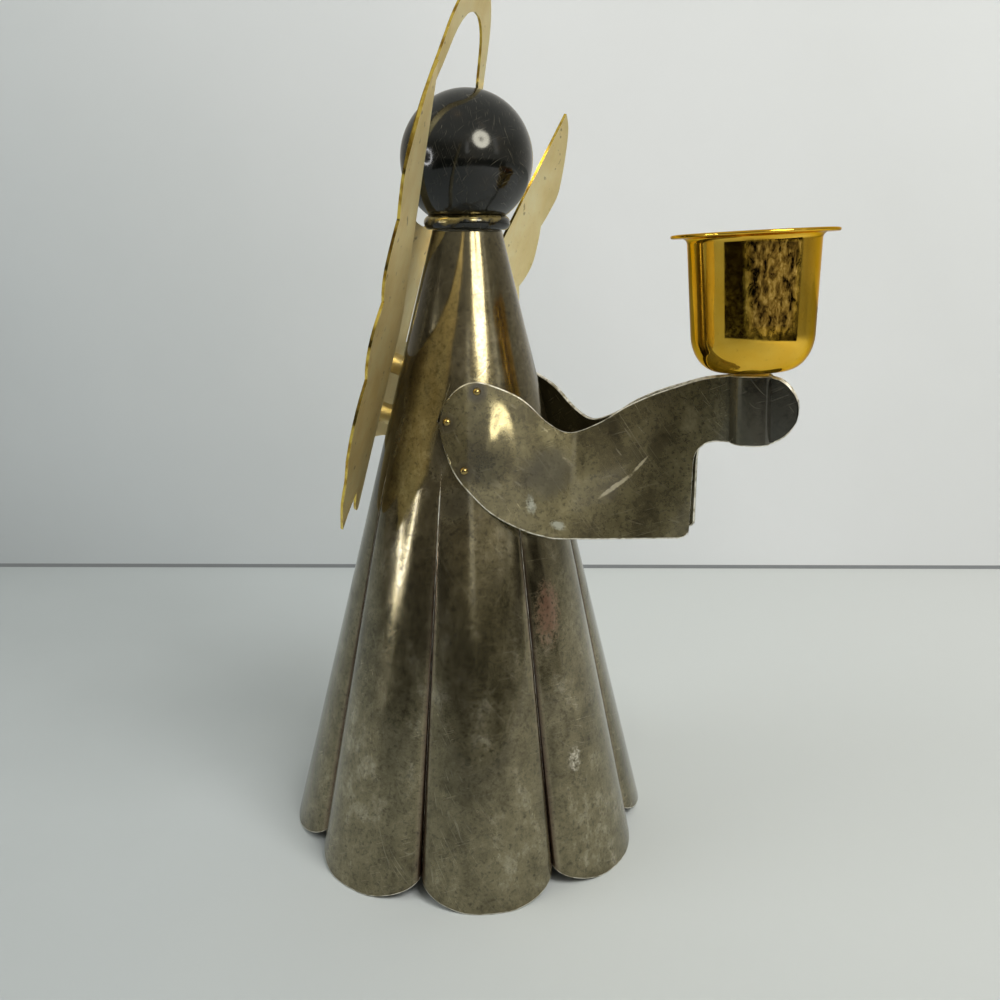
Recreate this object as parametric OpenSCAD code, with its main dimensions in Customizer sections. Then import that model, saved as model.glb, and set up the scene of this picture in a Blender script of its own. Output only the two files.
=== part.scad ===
// Angel candle holder: a sheet-metal angel that holds a brass cup for one candle.
// The robe's cone stands on the table with its axis on Z, and the angel looks along +X.
// Lengths are in millimetres and angles in degrees.

/* [Robe] */
// Height of the robe, from the table to the neck
robe_h = 138.5; // [130:0.5:150]
// Radius of the hem, over the lobes between the pleats
hem_r = 42.8; // [40:0.1:46]
// Radius of the robe at the neck
neck_r = 7.4; // [7:0.1:8.2]
// Thickness of the robe's sheet, measured sideways
robe_wall = 0.8; // [0.6:0.05:1.2]
// Number of pleats round the hem
pleats = 8; // [6:1:10]
// Depth of a pleat at the hem
pleat_d = 5.2; // [3:0.1:7]
// Height at which the pleats fade out
pleat_h = 96; // [70:1:98]
// Height of the hem's edge above the table at a pleat
hem_lift = 4.8; // [2:0.1:7]
// Turn of the pleats round the robe
pleat_turn = 6.1; // [0:0.1:22]

/* [Head and collar] */
// Radius of the head's ball
head_r = 13.9; // [12:0.1:15]
// Outer radius of the collar ring
collar_r = 9.2; // [8.8:0.1:10]
// Radius of the collar's rounded section
collar_tube_r = 1.6; // [1.3:0.05:1.8]
// Height of the ball's lowest point over the robe's top edge
head_lift = 0.2; // [0.1:0.05:0.4]
// Height of the neck washer's lower face above the table
neck_washer_z = 127; // [122:0.5:130]
// Thickness of the neck washer
neck_washer_t = 1.2; // [0.8:0.1:2]
// Shank radius of the neck screw
neck_screw_r = 1.5; // [1.25:0.05:2]
// Depth of the neck screw in the ball
neck_screw_grip = 8; // [6:0.5:11]

/* [Arms] */
// Thickness of the arms' sheet
arm_wall = 0.8; // [0.6:0.05:1]
// Length of an arm, from the back of the shoulder to the fingertips
arm_l = 70; // [66:0.5:74]
// Place of the shoulder's back edge, in front of the robe's axis
shoulder_x = 0.8; // [0:0.1:3]
// Height of the middle of the hands above the table
hand_z = 103.9; // [101:0.1:106]
// Radius of a hand's round end
hand_r = 7; // [6:0.1:8]
// Height of the sleeve's lower edge above the table
sleeve_z = 76.4; // [74:0.1:80]
// Length of the sleeve, from the back of the shoulder to the cuff
sleeve_l = 50.2; // [48:0.1:52]
// Radius of the inner corner between the hand and the cuff
wrist_r = 4.2; // [3:0.1:5]
// Radius of the cuff's lower corner
cuff_r = 2; // [1:0.1:3]
// Place of the elbow's bend, in front of the robe's axis
elbow_x = 27.6; // [26:0.1:30]
// Gap between each hand and the middle plane
hand_gap = 0.4; // [0.3:0.05:0.8]

/* [Rivets] */
// Radius of a shoulder rivet's shank
rivet_r = 0.5; // [0.4:0.05:0.7]
// Radius of a shoulder rivet's round head
rivet_head_r = 0.85; // [0.8:0.05:1.1]
// Height of a shoulder rivet's round head
rivet_head_h = 0.5; // [0.4:0.05:0.7]

/* [Wings and halo] */
// Thickness of the wings' sheet
sheet_t = 0.6; // [0.5:0.05:0.9]
// Lean of the sheet towards the head
sheet_lean = 16.3; // [15:0.1:18]
// Length of the spacer at the lower wing screw
spacer_l = 4; // [3.6:0.1:5]
// Width of both wings together, seen from the front
wing_span = 84; // [78:0.5:92]
// Length of a wing above the lower screw
wing_up = 73.8; // [68:0.2:80]
// Length of a wing below the lower screw
wing_down = 18.4; // [15:0.2:21]
// Half width of the flat part between the wings
wing_root = 6.9; // [6:0.1:8]
// Fold of the wings at that flat part
wing_fold = 53; // [46:1:58]
// Radius of the wings' curl outside that fold
wing_curl_r = 22; // [16:0.5:28]
// Flare of the wings' straight part outside the curl
wing_flare = 13.5; // [9:0.5:18]
// Half width of the neck strip that carries the halo
strip_w = 4; // [3:0.1:5]
// Clearance of the halo's opening round the head
halo_gap = 0.75; // [0.4:0.05:1.5]
// Width of the halo's rim beside the head
halo_rim = 1.9; // [1.2:0.1:3]
// Height of the halo's opening above the middle of the head
halo_hole_up = 27.3; // [24:0.1:32]
// Height of the halo's rim over its opening
halo_crown = 6.5; // [4:0.1:9]

/* [Wing screws] */
// Height above the table at which the lower wing screw enters the robe
wing_screw_z = 96.7; // [95:0.1:99]
// Distance between the two wing screws
wing_screw_pitch = 12; // [10:0.5:14]
// Shank radius of a wing screw
wing_screw_r = 1.2; // [1:0.05:1.5]
// Radius of a wing screw's head
wing_head_r = 2.2; // [1.9:0.05:2.6]
// Height of a wing screw's head
wing_head_h = 1.2; // [0.8:0.05:1.6]
// Outer radius of a spacer
spacer_r = 2.3; // [2:0.05:3]
// Radius of a wing nut's hexagon over its corners
nut_r = 2.6; // [2.2:0.05:3]
// Thickness of a wing nut
nut_t = 1.8; // [1.4:0.05:2.2]

/* [Candle cup] */
// Radius of the cup's bore, for the candle
bore_r = 11.1; // [10.6:0.05:11.3]
// Height of the cup
cup_h = 26.5; // [24:0.1:30]
// Outer radius of the cup under its flange
cup_top_r = 12.6; // [12.3:0.05:13.2]
// Outer radius of the cup above its round bottom
cup_low_r = 11.9; // [11.75:0.05:12.3]
// Height of the cup's round bottom
cup_round_h = 7.5; // [5:0.1:9]
// Radius of the cup's flat bottom
cup_foot_r = 6.4; // [5.5:0.1:7]
// Thickness of the cup's floor
cup_floor = 0.9; // [0.7:0.05:1.5]
// Radius of the cup's flange
flange_r = 15.8; // [14.5:0.1:17]
// Thickness of the flange
flange_t = 0.7; // [0.5:0.05:1]
// Radius of the fillet between the cup and its flange
flange_fillet_r = 1.1; // [0.6:0.05:1.8]

/* [Stem] */
// Radius of the stem between the hands
stem_r = 3.4; // [3:0.05:3.8]
// Length of the stem
stem_l = 14.2; // [12:0.1:16]
// Place of the stem, in front of the robe's axis, at the height of the hands
stem_x = 61.5; // [60:0.1:62.5]
// Lean of the stem and the cup towards the face
stem_lean = 3.1; // [0:0.1:5]
// Height of the stem above the middle of the hands
stem_up = 7.7; // [7:0.1:9]
// Shank radius of the cup screw
cup_screw_r = 1.25; // [1:0.05:1.6]
// Depth of the cup screw in the stem
cup_screw_grip = 9; // [6:0.5:11]
// Radius of the cup washer
cup_washer_r = 4; // [3.4:0.1:4.8]
// Thickness of the cup washer
cup_washer_t = 0.5; // [0.4:0.05:0.8]

/* [Fits] */
// Clearance of shanks in their holes and of sheets on curved faces
fit = 0.05; // [0.04:0.01:0.1]

/* [Hidden] */
$fn = 64;

// One overrun serves all cuts
over = 2;

// The robe's cone, and the height and turn of a point on it
function cone_r(z) = neck_r + (hem_r - neck_r) * (robe_h - z) / robe_h;
cone_slope = atan((hem_r - neck_r) / robe_h);

// Pleats: a crest share of 1 on a lobe falls steeply to 0 in a narrow pleat
pleat_sharp_share = 0.48;
pleat_fade_share = 1.42;
landing_share = 0.06;
pleat_pitch = 360 / pleats;
first_crest = pleat_turn + pleat_pitch / 2;
function crest_share(a) = pow(abs(cos(pleats / 2 * (a - first_crest))), pleat_sharp_share);
function pleat_depth(z) = z > pleat_h ? 0 : pleat_d * pow((pleat_h - z) / pleat_h, pleat_fade_share);
function robe_r(a, z) = cone_r(z) - pleat_depth(z) * (1 - crest_share(a));
function hem_z(a) = hem_lift * max(0, 1 - crest_share(a) - landing_share) / (1 - landing_share);

// Columns of the robe's sheet gather at the pleats, where it turns sharply
lobe_steps = 6;
robe_rows = 11;
columns = [
    for (k = [0:pleats - 1]) for (i = [-lobe_steps:lobe_steps - 1])
        first_crest + pleat_pitch * k + pleat_pitch / 2 * sin(90 * i / lobe_steps)
];
function row_z(a, j) = j > robe_rows ? robe_h : hem_z(a) + (pleat_h - hem_z(a)) * j / robe_rows;

// The model's middle, halfway between the back of the hem and the cup's flange
back_x = min([for (a = columns) robe_r(a, hem_z(a)) * cos(a)]);
rim_x = stem_x - (stem_up + cup_h - flange_t) * sin(stem_lean) + flange_r * cos(stem_lean);
mid_x = (back_x + rim_x) / 2;

// The sheet of the wings: its screws, its lean and the head's place on it
sheet_x = -cone_r(wing_screw_z) - (spacer_l + sheet_t) * cos(sheet_lean);
sheet_z = wing_screw_z + (spacer_l + sheet_t) * sin(sheet_lean);
head_z = robe_h + head_lift + head_r;
head_off = -sheet_x * cos(sheet_lean) - (head_z - sheet_z) * sin(sheet_lean) - sheet_t / 2;
head_up = -sheet_x * sin(sheet_lean) + (head_z - sheet_z) * cos(sheet_lean);
halo_hole_r = sqrt(head_r * head_r - head_off * head_off) + halo_gap;
halo_r = halo_hole_r + halo_rim;

// The collar's rounded section stands on a narrow flat, cut off its lower side
collar_flat_share = 0.1;
collar_x = collar_r - collar_tube_r;
collar_z = robe_h + collar_tube_r * (1 - collar_flat_share);

// Half outlines, from the bottom up: shares of half the width and of the lengths up and down
halo_hole_shares = [
    [0, -1.19], [0.38, -1.1], [0.69, -0.89], [0.92, -0.55], [1, -0.19], [1, 0.1], [0.93, 0.29],
    [0.825, 0.443], [0.7, 0.577], [0.6, 0.703], [0.5, 0.818], [0.375, 0.909], [0.2, 0.978], [0, 1]
];
halo_rim_shares = [
    [0.3, -1.485], [0.47, -1.28], [0.7, -1.03], [0.887, -0.72], [0.987, -0.34], [1, 0.02],
    [0.953, 0.22], [0.86, 0.389], [0.773, 0.513], [0.707, 0.614], [0.627, 0.729], [0.487, 0.852],
    [0.28, 0.954], [0, 1]
];
// The wing's edge in runs between its notches, from the bottom of the root to the tip and back
wing_run_shares = [
    [[0, -0.34], [0.095, -0.37], [0.19, -0.44], [0.274, -0.66], [0.345, -0.9], [0.405, -0.96],
     [0.464, -0.88], [0.536, -0.62]],
    [[0.536, -0.62], [0.607, -0.82], [0.648, -1]],
    [[0.648, -1], [0.762, -0.6], [0.798, -0.28]],
    [[0.798, -0.28], [0.852, -0.03], [0.886, 0.079], [0.881, 0.163], [0.848, 0.23]],
    [[0.848, 0.23], [0.893, 0.27], [0.919, 0.32], [0.91, 0.376], [0.862, 0.435]],
    [[0.862, 0.435], [0.912, 0.475], [0.94, 0.524], [0.933, 0.596], [0.917, 0.642]],
    [[0.917, 0.642], [0.955, 0.682], [1, 0.745], [0.998, 0.795], [0.967, 0.881], [0.921, 0.959],
     [0.86, 1]],
    [[0.86, 1], [0.79, 0.897], [0.721, 0.797], [0.605, 0.629], [0.481, 0.451], [0.381, 0.323],
     [0.286, 0.244], [0.167, 0.219], [0, 0.226]]
];
// An arm's edge as shares of its length and of its rise from the sleeve to the hand's top
arm_top_shares = [
    [0, 0.675], [0.006, 0.745], [0.021, 0.817], [0.053, 0.89], [0.093, 0.919], [0.154, 0.887],
    [0.229, 0.812], [0.303, 0.678], [0.367, 0.623], [0.447, 0.687], [0.514, 0.78],
    [0.586, 0.855], [0.654, 0.91], [0.739, 0.968], [0.837, 0.996], [0.87, 1]
];
arm_under_shares = [
    [0.42, 0], [0.32, 0.017], [0.25, 0.064], [0.174, 0.148], [0.116, 0.252], [0.059, 0.386],
    [0.021, 0.545], [0, 0.675]
];
// The shoulder rivets: turn from the front, and height as a share of the arm's rise
rivet_places_share = [[60.8, 0.861], [81.4, 0.684], [69.7, 0.403]];
arm_rise = hand_z + hand_r - sleeve_z;

// A smooth run through points, with n steps between two of them
function knot(p, i) = p[max(0, min(len(p) - 1, i))];
function spline(p, n) = concat(
    [for (i = [0:len(p) - 2]) for (k = [0:n - 1])
        let (a = knot(p, i - 1), b = knot(p, i), c = knot(p, i + 1), d = knot(p, i + 2), t = k / n)
        b + ((c - a) * t + (2 * a - 5 * b + 4 * c - d) * t * t + (3 * b - a - 3 * c + d) * t * t * t) / 2],
    [p[len(p) - 1]]
);
function arc(x, y, r, from, to, steps) =
    [for (i = [0:steps]) let (a = from + (to - from) * i / steps) [x + r * cos(a), y + r * sin(a)]];
function mirrored(p) = [for (i = [len(p) - 1:-1:0]) [-p[i][0], p[i][1]]];

// Two point grids, front and back, joined into one closed sheet; rows run upwards
module thick_sheet(front, back, cols, rows, closed) {
    n = cols * rows;
    last = closed ? cols - 1 : cols - 2;
    function id(i, j) = (i % cols) + j * cols;
    polyhedron(
        points = concat(front, back),
        faces = concat(
            [for (j = [0:rows - 2]) for (i = [0:last]) [id(i, j), id(i + 1, j + 1), id(i + 1, j)]],
            [for (j = [0:rows - 2]) for (i = [0:last]) [id(i, j), id(i, j + 1), id(i + 1, j + 1)]],
            [for (j = [0:rows - 2]) for (i = [0:last]) [id(i, j), id(i + 1, j), id(i + 1, j + 1)] + [n, n, n]],
            [for (j = [0:rows - 2]) for (i = [0:last]) [id(i, j), id(i + 1, j + 1), id(i, j + 1)] + [n, n, n]],
            [for (i = [0:last]) [id(i, 0), id(i + 1, 0), id(i + 1, 0) + n]],
            [for (i = [0:last]) [id(i, 0), id(i + 1, 0) + n, id(i, 0) + n]],
            [for (i = [0:last]) [id(i, rows - 1), id(i + 1, rows - 1) + n, id(i + 1, rows - 1)]],
            [for (i = [0:last]) [id(i, rows - 1), id(i, rows - 1) + n, id(i + 1, rows - 1) + n]],
            closed ? [] : [for (j = [0:rows - 2]) [id(0, j), id(0, j) + n, id(0, j + 1) + n]],
            closed ? [] : [for (j = [0:rows - 2]) [id(0, j), id(0, j + 1) + n, id(0, j + 1)]],
            closed ? [] : [for (j = [0:rows - 2]) [id(cols - 1, j), id(cols - 1, j + 1) + n, id(cols - 1, j) + n]],
            closed ? [] : [for (j = [0:rows - 2]) [id(cols - 1, j), id(cols - 1, j + 1), id(cols - 1, j + 1) + n]]
        ),
        convexity = 10
    );
}

// Places: the model's origin, a point square on the cone, the leaning sheet and the leaning stem
module centred() {
    translate([-mid_x, 0, 0]) children();
}

module on_cone(a, z) {
    translate([cone_r(z) * cos(a), cone_r(z) * sin(a), z]) rotate([0, 0, a]) rotate([0, 90 - cone_slope, 0]) children();
}

module on_sheet() {
    translate([sheet_x, 0, sheet_z]) rotate([0, sheet_lean, 0]) rotate([90, 0, 90]) children();
}

module on_stem() {
    translate([stem_x, 0, hand_z]) rotate([0, -stem_lean, 0]) children();
}

module shoulder_rivet_places(side) {
    for (p = rivet_places_share) on_cone(side * p[0], sleeve_z + p[1] * arm_rise) children();
}

module wing_screw_places() {
    for (k = [0, 1]) on_sheet() translate([0, k * wing_screw_pitch, 0]) children();
}

// Cone of the robe grown sideways, to cut what sits on it
module solid_cone(grow) {
    cylinder(r1 = hem_r + grow, r2 = neck_r + grow, h = robe_h);
}

module robe() color("darkkhaki") centred() difference() {
    thick_sheet(
        [for (j = [0:robe_rows + 1]) for (a = columns) let (z = row_z(a, j), r = robe_r(a, z))
            [r * cos(a), r * sin(a), z]],
        [for (j = [0:robe_rows + 1]) for (a = columns) let (z = row_z(a, j), r = robe_r(a, z) - robe_wall)
            [r * cos(a), r * sin(a), z]],
        len(columns), robe_rows + 2, true
    );
    for (side = [-1, 1]) shoulder_rivet_places(side) translate([0, 0, -over]) cylinder(r = rivet_r + fit, h = 2 * over);
    wing_screw_places() cylinder(r = wing_screw_r + fit, h = screw_reach);
}

// Collar: a rounded ring on the robe's top edge, dished by the ball
module collar_ring() color("dimgray") centred() difference() {
    rotate_extrude() intersection() {
        translate([collar_x, collar_z]) circle(r = collar_tube_r);
        translate([0, robe_h]) square([collar_r, 2 * collar_tube_r]);
    }
    translate([0, 0, head_z]) sphere(r = head_r + fit);
}

// Head: a solid ball with a blind tapped hole for the neck screw
module head_ball() color([0.16, 0.15, 0.14]) centred() difference() {
    translate([0, 0, head_z]) sphere(r = head_r);
    translate([0, 0, robe_h]) cylinder(r = neck_screw_r + fit, h = head_lift + neck_screw_grip + over);
}

// Neck washer: its slanted edge wedges inside the robe's cone
module neck_washer() color("silver") centred() difference() {
    translate([0, 0, neck_washer_z]) cylinder(
        r1 = cone_r(neck_washer_z) - robe_wall - 2 * fit,
        r2 = cone_r(neck_washer_z + neck_washer_t) - robe_wall - 2 * fit,
        h = neck_washer_t
    );
    translate([0, 0, neck_washer_z - over]) cylinder(r = neck_screw_r + fit, h = neck_washer_t + 2 * over);
}

// A screw with a cheese head below a straight shank; its driver slot is left to the finish
module screw(shank_r, shank_l, head_r, head_h) {
    cylinder(r = shank_r, h = shank_l);
    translate([0, 0, -head_h]) cylinder(r = head_r, h = head_h);
}

module neck_screw() color("silver") centred() translate([0, 0, neck_washer_z])
    screw(neck_screw_r, head_z - head_r - neck_washer_z + neck_screw_grip, 1.9 * neck_screw_r, 1.2 * neck_screw_r);

// Section of the wings' sheet across the leaning plane: a flat middle, two curls and two straight parts
module curl_and_flare(r) {
    circle(r = r);
    rotate([0, 0, wing_flare]) translate([0, -wing_span]) square([wing_span, wing_span + r]);
}

module wing_section() {
    translate([-wing_root, 0]) square([2 * wing_root, sheet_t]);
    for (side = [0, 1]) mirror([side, 0])
        translate([wing_root + wing_curl_r * sin(wing_fold), -wing_curl_r * cos(wing_fold)]) intersection() {
            difference() {
                curl_and_flare(wing_curl_r + sheet_t);
                curl_and_flare(wing_curl_r);
            }
            polygon([
                [0, 0], 2 * wing_curl_r * [-sin(wing_fold), cos(wing_fold)],
                [wing_span / 2, 2 * wing_curl_r], [wing_span / 2, 0]
            ]);
        }
}

module wing_outline() {
    half = [for (run = wing_run_shares) each [for (p = spline(run, 3))
        [p[0] * wing_span / 2, p[1] * (p[1] > 0 ? wing_up : wing_down)]]];
    polygon(concat(half, mirrored(half)));
}

module halo_outline() {
    rim = [for (p = spline(halo_rim_shares, 2)) [p[0] * halo_r, head_up + (p[1] > 0 ?
        p[1] * (halo_hole_up + halo_crown) : p[1] * halo_r)]];
    hole = [for (p = spline(halo_hole_shares, 2)) [p[0] * halo_hole_r, head_up + (p[1] > 0 ?
        p[1] * halo_hole_up : p[1] * halo_hole_r)]];
    difference() {
        polygon(concat([[strip_w, 0], [strip_w, rim[0][1] - strip_w / 2]], rim, mirrored(rim),
            [[-strip_w, rim[0][1] - strip_w / 2], [-strip_w, 0]]));
        polygon(concat(hole, mirrored(hole)));
    }
}

// Wings and halo: one stamped and bent sheet behind the robe and round the head
module wings_and_halo() color("goldenrod") centred() difference() {
    union() {
        on_sheet() linear_extrude(sheet_t) halo_outline();
        intersection() {
            on_sheet() translate([0, 0, -over]) linear_extrude(wing_span / 2) wing_outline();
            on_sheet() translate([0, wing_up + over, 0]) rotate([90, 0, 0])
                linear_extrude(wing_up + wing_down + 2 * over) wing_section();
        }
    }
    wing_screw_places() translate([0, 0, -over]) cylinder(r = wing_screw_r + fit, h = sheet_t + 2 * over);
}

// How far the wing screws reach: over the upper spacer, through the robe and the nut
nut_wedge = nut_r * tan(abs(sheet_lean - cone_slope));
function robe_depth(s) = (-(sheet_x + s * sin(sheet_lean)) - cone_r(sheet_z + s * cos(sheet_lean)))
    / (cos(sheet_lean) + tan(cone_slope) * sin(sheet_lean));
function wall_in(s) = robe_wall / (cos(sheet_lean) + tan(cone_slope) * sin(sheet_lean));
function nut_seat(s) = robe_depth(s) + wall_in(s) + nut_r * nut_r
    / (2 * (cone_r(sheet_z + s * cos(sheet_lean)) - robe_wall - spacer_l * sin(sheet_lean))) + nut_wedge + fit;
screw_reach = nut_seat(0) + nut_t + wing_screw_r;

module wing_spacers() color("goldenrod") centred() difference() {
    wing_screw_places() translate([0, 0, sheet_t]) difference() {
        cylinder(r = spacer_r, h = 2 * spacer_l);
        translate([0, 0, -over]) cylinder(r = wing_screw_r + fit, h = 2 * spacer_l + 2 * over);
    }
    solid_cone(fit);
}

module wing_screws() color("goldenrod") centred()
    wing_screw_places() screw(wing_screw_r, screw_reach, wing_head_r, wing_head_h);

module wing_nuts() color("silver") centred() for (k = [0, 1])
    on_sheet() translate([0, k * wing_screw_pitch, nut_seat(k * wing_screw_pitch)]) difference() {
        cylinder(r = nut_r, h = nut_t, $fn = 6);
        translate([0, 0, -over]) cylinder(r = wing_screw_r + fit, h = nut_t + 2 * over);
    }

// Outline of an arm from its side: shoulder, hand with a round end, cuff and sleeve
module arm_outline() {
    cuff_x = shoulder_x + sleeve_l;
    top = [for (p = arm_top_shares) [shoulder_x + p[0] * arm_l, sleeve_z + p[1] * arm_rise]];
    under = [for (p = arm_under_shares) [shoulder_x + p[0] * arm_l, sleeve_z + p[1] * arm_rise]];
    polygon(concat(
        spline(top, 3),
        arc(shoulder_x + arm_l - hand_r, hand_z, hand_r, 80, -90, 14),
        arc(cuff_x + wrist_r, hand_z - hand_r - wrist_r, wrist_r, 90, 180, 6),
        arc(cuff_x - cuff_r, sleeve_z + cuff_r, cuff_r, 0, -90, 4),
        spline(under, 3)
    ));
}

// Route of an arm's sheet at one height, seen from above: round the shoulder, along the
// sleeve, half round the stem and on to the fingertips
seam_turn = 67;
back_turn = 103;
turn_steps = 5;
forearm_steps = 8;
wrap_steps = 10;
turn_step = (back_turn - seam_turn) / turn_steps;
function arm_route(z, off) =
    let (
        r = (cone_r(z) + fit) / cos(turn_step / 2) + off,
        bend_y = (r - elbow_x * cos(seam_turn)) / sin(seam_turn),
        hold_r = (stem_r + fit) / cos(90 / wrap_steps) + off,
        flat_y = hand_gap + off,
        wrap_from = asin(flat_y / hold_r),
        axis_x = stem_x - (z - hand_z) * tan(stem_lean),
        hold_x = axis_x - hold_r - hand_gap
    )
    concat(
        [for (i = [0:turn_steps]) let (a = back_turn - turn_step * i) [r * cos(a), r * sin(a)]],
        [for (i = [0:forearm_steps]) [elbow_x, bend_y] + ([hold_x, flat_y] - [elbow_x, bend_y]) * i / forearm_steps],
        [for (i = [0:wrap_steps]) let (a = 180 - wrap_from - (180 - 2 * wrap_from) * i / wrap_steps)
            [axis_x + hold_r * cos(a), hold_r * sin(a)]],
        [[shoulder_x + arm_l + over, flat_y]]
    );
arm_rows = 7;
arm_low = sleeve_z - over;
arm_high = hand_z + hand_r + over;

module arm(side) {
    routes = [for (j = [0:arm_rows - 1]) let (z = arm_low + (arm_high - arm_low) * j / (arm_rows - 1))
        [for (off = [arm_wall, 0]) [for (p = arm_route(z, off)) [p[0], -p[1], z]]]];
    mirror([0, side > 0 ? 1 : 0, 0]) intersection() {
        translate([0, over, 0]) rotate([90, 0, 0]) linear_extrude(hem_r) arm_outline();
        thick_sheet(
            [for (r = routes) each r[0]], [for (r = routes) each r[1]], len(routes[0][0]), arm_rows, false
        );
    }
}

module right_arm() color("gray") centred() difference() {
    arm(-1);
    shoulder_rivet_places(-1) translate([0, 0, -over]) cylinder(r = rivet_r + fit, h = 2 * over);
}

module left_arm() color("gray") centred() difference() {
    arm(1);
    shoulder_rivet_places(1) translate([0, 0, -over]) cylinder(r = rivet_r + fit, h = 2 * over);
}

// Rivets: a round head on the arm, a shank through both sheets and a low tail in the robe
module rivet() {
    lift = arm_wall + 3 * fit;
    sink = robe_wall + 2 * fit;
    cap_r = (rivet_head_r * rivet_head_r + rivet_head_h * rivet_head_h) / (2 * rivet_head_h);
    translate([0, 0, -sink]) cylinder(r = rivet_r, h = sink + lift);
    translate([0, 0, -sink - rivet_head_h / 2]) cylinder(r = rivet_head_r, h = rivet_head_h / 2);
    translate([0, 0, lift]) intersection() {
        translate([0, 0, rivet_head_h - cap_r]) sphere(r = cap_r);
        cylinder(r = rivet_head_r, h = rivet_head_h);
    }
}

module right_shoulder_rivets() color("dimgray") centred() shoulder_rivet_places(-1) rivet();

module left_shoulder_rivets() color("dimgray") centred() shoulder_rivet_places(1) rivet();

// Stem: a rod between the hands, with a tapped hole for the cup screw
module stem_tube() color("goldenrod") centred() on_stem() difference() {
    translate([0, 0, stem_up - stem_l]) cylinder(r = stem_r, h = stem_l);
    translate([0, 0, stem_up - cup_screw_grip - cup_screw_r]) cylinder(r = cup_screw_r + fit, h = stem_l);
}

// Candle cup: a straight bore, a round bottom and a thin flange on a fillet
fillet_z = cup_h - flange_t - flange_fillet_r;
module candle_cup() color("goldenrod") centred() on_stem() translate([0, 0, stem_up]) difference() {
    rotate_extrude() {
        polygon(concat(
            [[0, 0], [cup_foot_r, 0]],
            [for (i = [1:8]) let (a = 90 * i / 8)
                [cup_foot_r + (cup_low_r - cup_foot_r) * sin(a), cup_round_h * (1 - cos(a))]],
            [[cup_top_r, fillet_z], [cup_top_r, cup_h - flange_t], [0, cup_h - flange_t]]
        ));
        translate([0, cup_h - flange_t]) square([flange_r, flange_t]);
        difference() {
            translate([bore_r, fillet_z]) square([cup_top_r + flange_fillet_r - bore_r, flange_fillet_r]);
            translate([cup_top_r + flange_fillet_r, fillet_z]) circle(r = flange_fillet_r);
        }
    }
    translate([0, 0, cup_round_h]) cylinder(r = bore_r, h = cup_h);
    rotate_extrude() polygon(concat(
        [[0, cup_floor], [cup_foot_r - cup_floor, cup_floor]],
        [for (i = [1:8]) let (a = 90 * i / 8) [cup_foot_r - cup_floor + (bore_r - cup_foot_r + cup_floor) * sin(a),
            cup_floor + (cup_round_h - cup_floor) * (1 - cos(a))]],
        [[bore_r, cup_round_h + over], [0, cup_round_h + over]]
    ));
    translate([0, 0, -over]) cylinder(r = cup_screw_r + fit, h = cup_floor + 2 * over);
}

module cup_washer() color("silver") centred() on_stem() translate([0, 0, stem_up + cup_floor]) difference() {
    cylinder(r = cup_washer_r, h = cup_washer_t);
    translate([0, 0, -over]) cylinder(r = cup_screw_r + fit, h = cup_washer_t + 2 * over);
}

module cup_screw() color("silver") centred() on_stem()
    translate([0, 0, stem_up + cup_floor + cup_washer_t]) mirror([0, 0, 1])
        screw(cup_screw_r, cup_floor + cup_washer_t + cup_screw_grip, 2 * cup_screw_r, 1.2 * cup_screw_r);

robe();
collar_ring();
head_ball();
neck_washer();
neck_screw();
wings_and_halo();
wing_spacers();
wing_screws();
wing_nuts();
right_arm();
left_arm();
right_shoulder_rivets();
left_shoulder_rivets();
stem_tube();
candle_cup();
cup_washer();
cup_screw();
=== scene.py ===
import math

import bmesh
import bpy
from mathutils import Matrix, Vector


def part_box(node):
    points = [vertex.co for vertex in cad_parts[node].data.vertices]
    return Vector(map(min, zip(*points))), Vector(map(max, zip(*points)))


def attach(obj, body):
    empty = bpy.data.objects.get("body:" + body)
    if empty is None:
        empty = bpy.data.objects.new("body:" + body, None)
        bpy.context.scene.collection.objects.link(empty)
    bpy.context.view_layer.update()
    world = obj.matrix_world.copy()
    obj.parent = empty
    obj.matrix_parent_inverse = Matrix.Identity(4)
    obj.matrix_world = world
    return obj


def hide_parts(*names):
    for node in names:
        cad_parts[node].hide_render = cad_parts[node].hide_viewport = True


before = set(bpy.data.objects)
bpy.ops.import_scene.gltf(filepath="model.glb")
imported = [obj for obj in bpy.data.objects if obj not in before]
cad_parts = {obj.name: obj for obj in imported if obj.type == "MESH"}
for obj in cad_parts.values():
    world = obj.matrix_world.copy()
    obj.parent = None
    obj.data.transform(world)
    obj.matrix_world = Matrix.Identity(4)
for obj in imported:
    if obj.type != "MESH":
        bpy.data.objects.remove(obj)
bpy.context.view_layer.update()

# Robe
# One sheet of silver-plated brass, rolled to a cone and pressed into eight pleats round the hem.
# Its sheared edges carry a painted highlight that makes them pale; the rest has tarnished olive and brown.
MM = 0.001
robe_low, robe_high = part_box("robe")
axis_x = (robe_low.x + robe_high.x) / 2
robe_h = robe_high.z
hem_r = 42.8 * MM
neck_r = 7.4 * MM
robe_wall = 0.8 * MM
pleats = 8
pleat_d = 5.2 * MM
pleat_h = 96 * MM
hem_lift, hem_clear = 4.8 * MM, 0.15 * MM
pleat_sharp, pleat_fade, landing = 0.48, 1.42, 0.06
first_crest = math.radians(28.6)


def srgb(text, alpha=1.0):
    """An sRGB hex colour as the linear colour that a shader socket takes."""
    parts = [int(text[i:i + 2], 16) / 255 for i in (0, 2, 4)]
    linear = [p / 12.92 if p <= 0.04045 else ((p + 0.055) / 1.055) ** 2.4 for p in parts]
    return (*linear, alpha)


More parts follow.
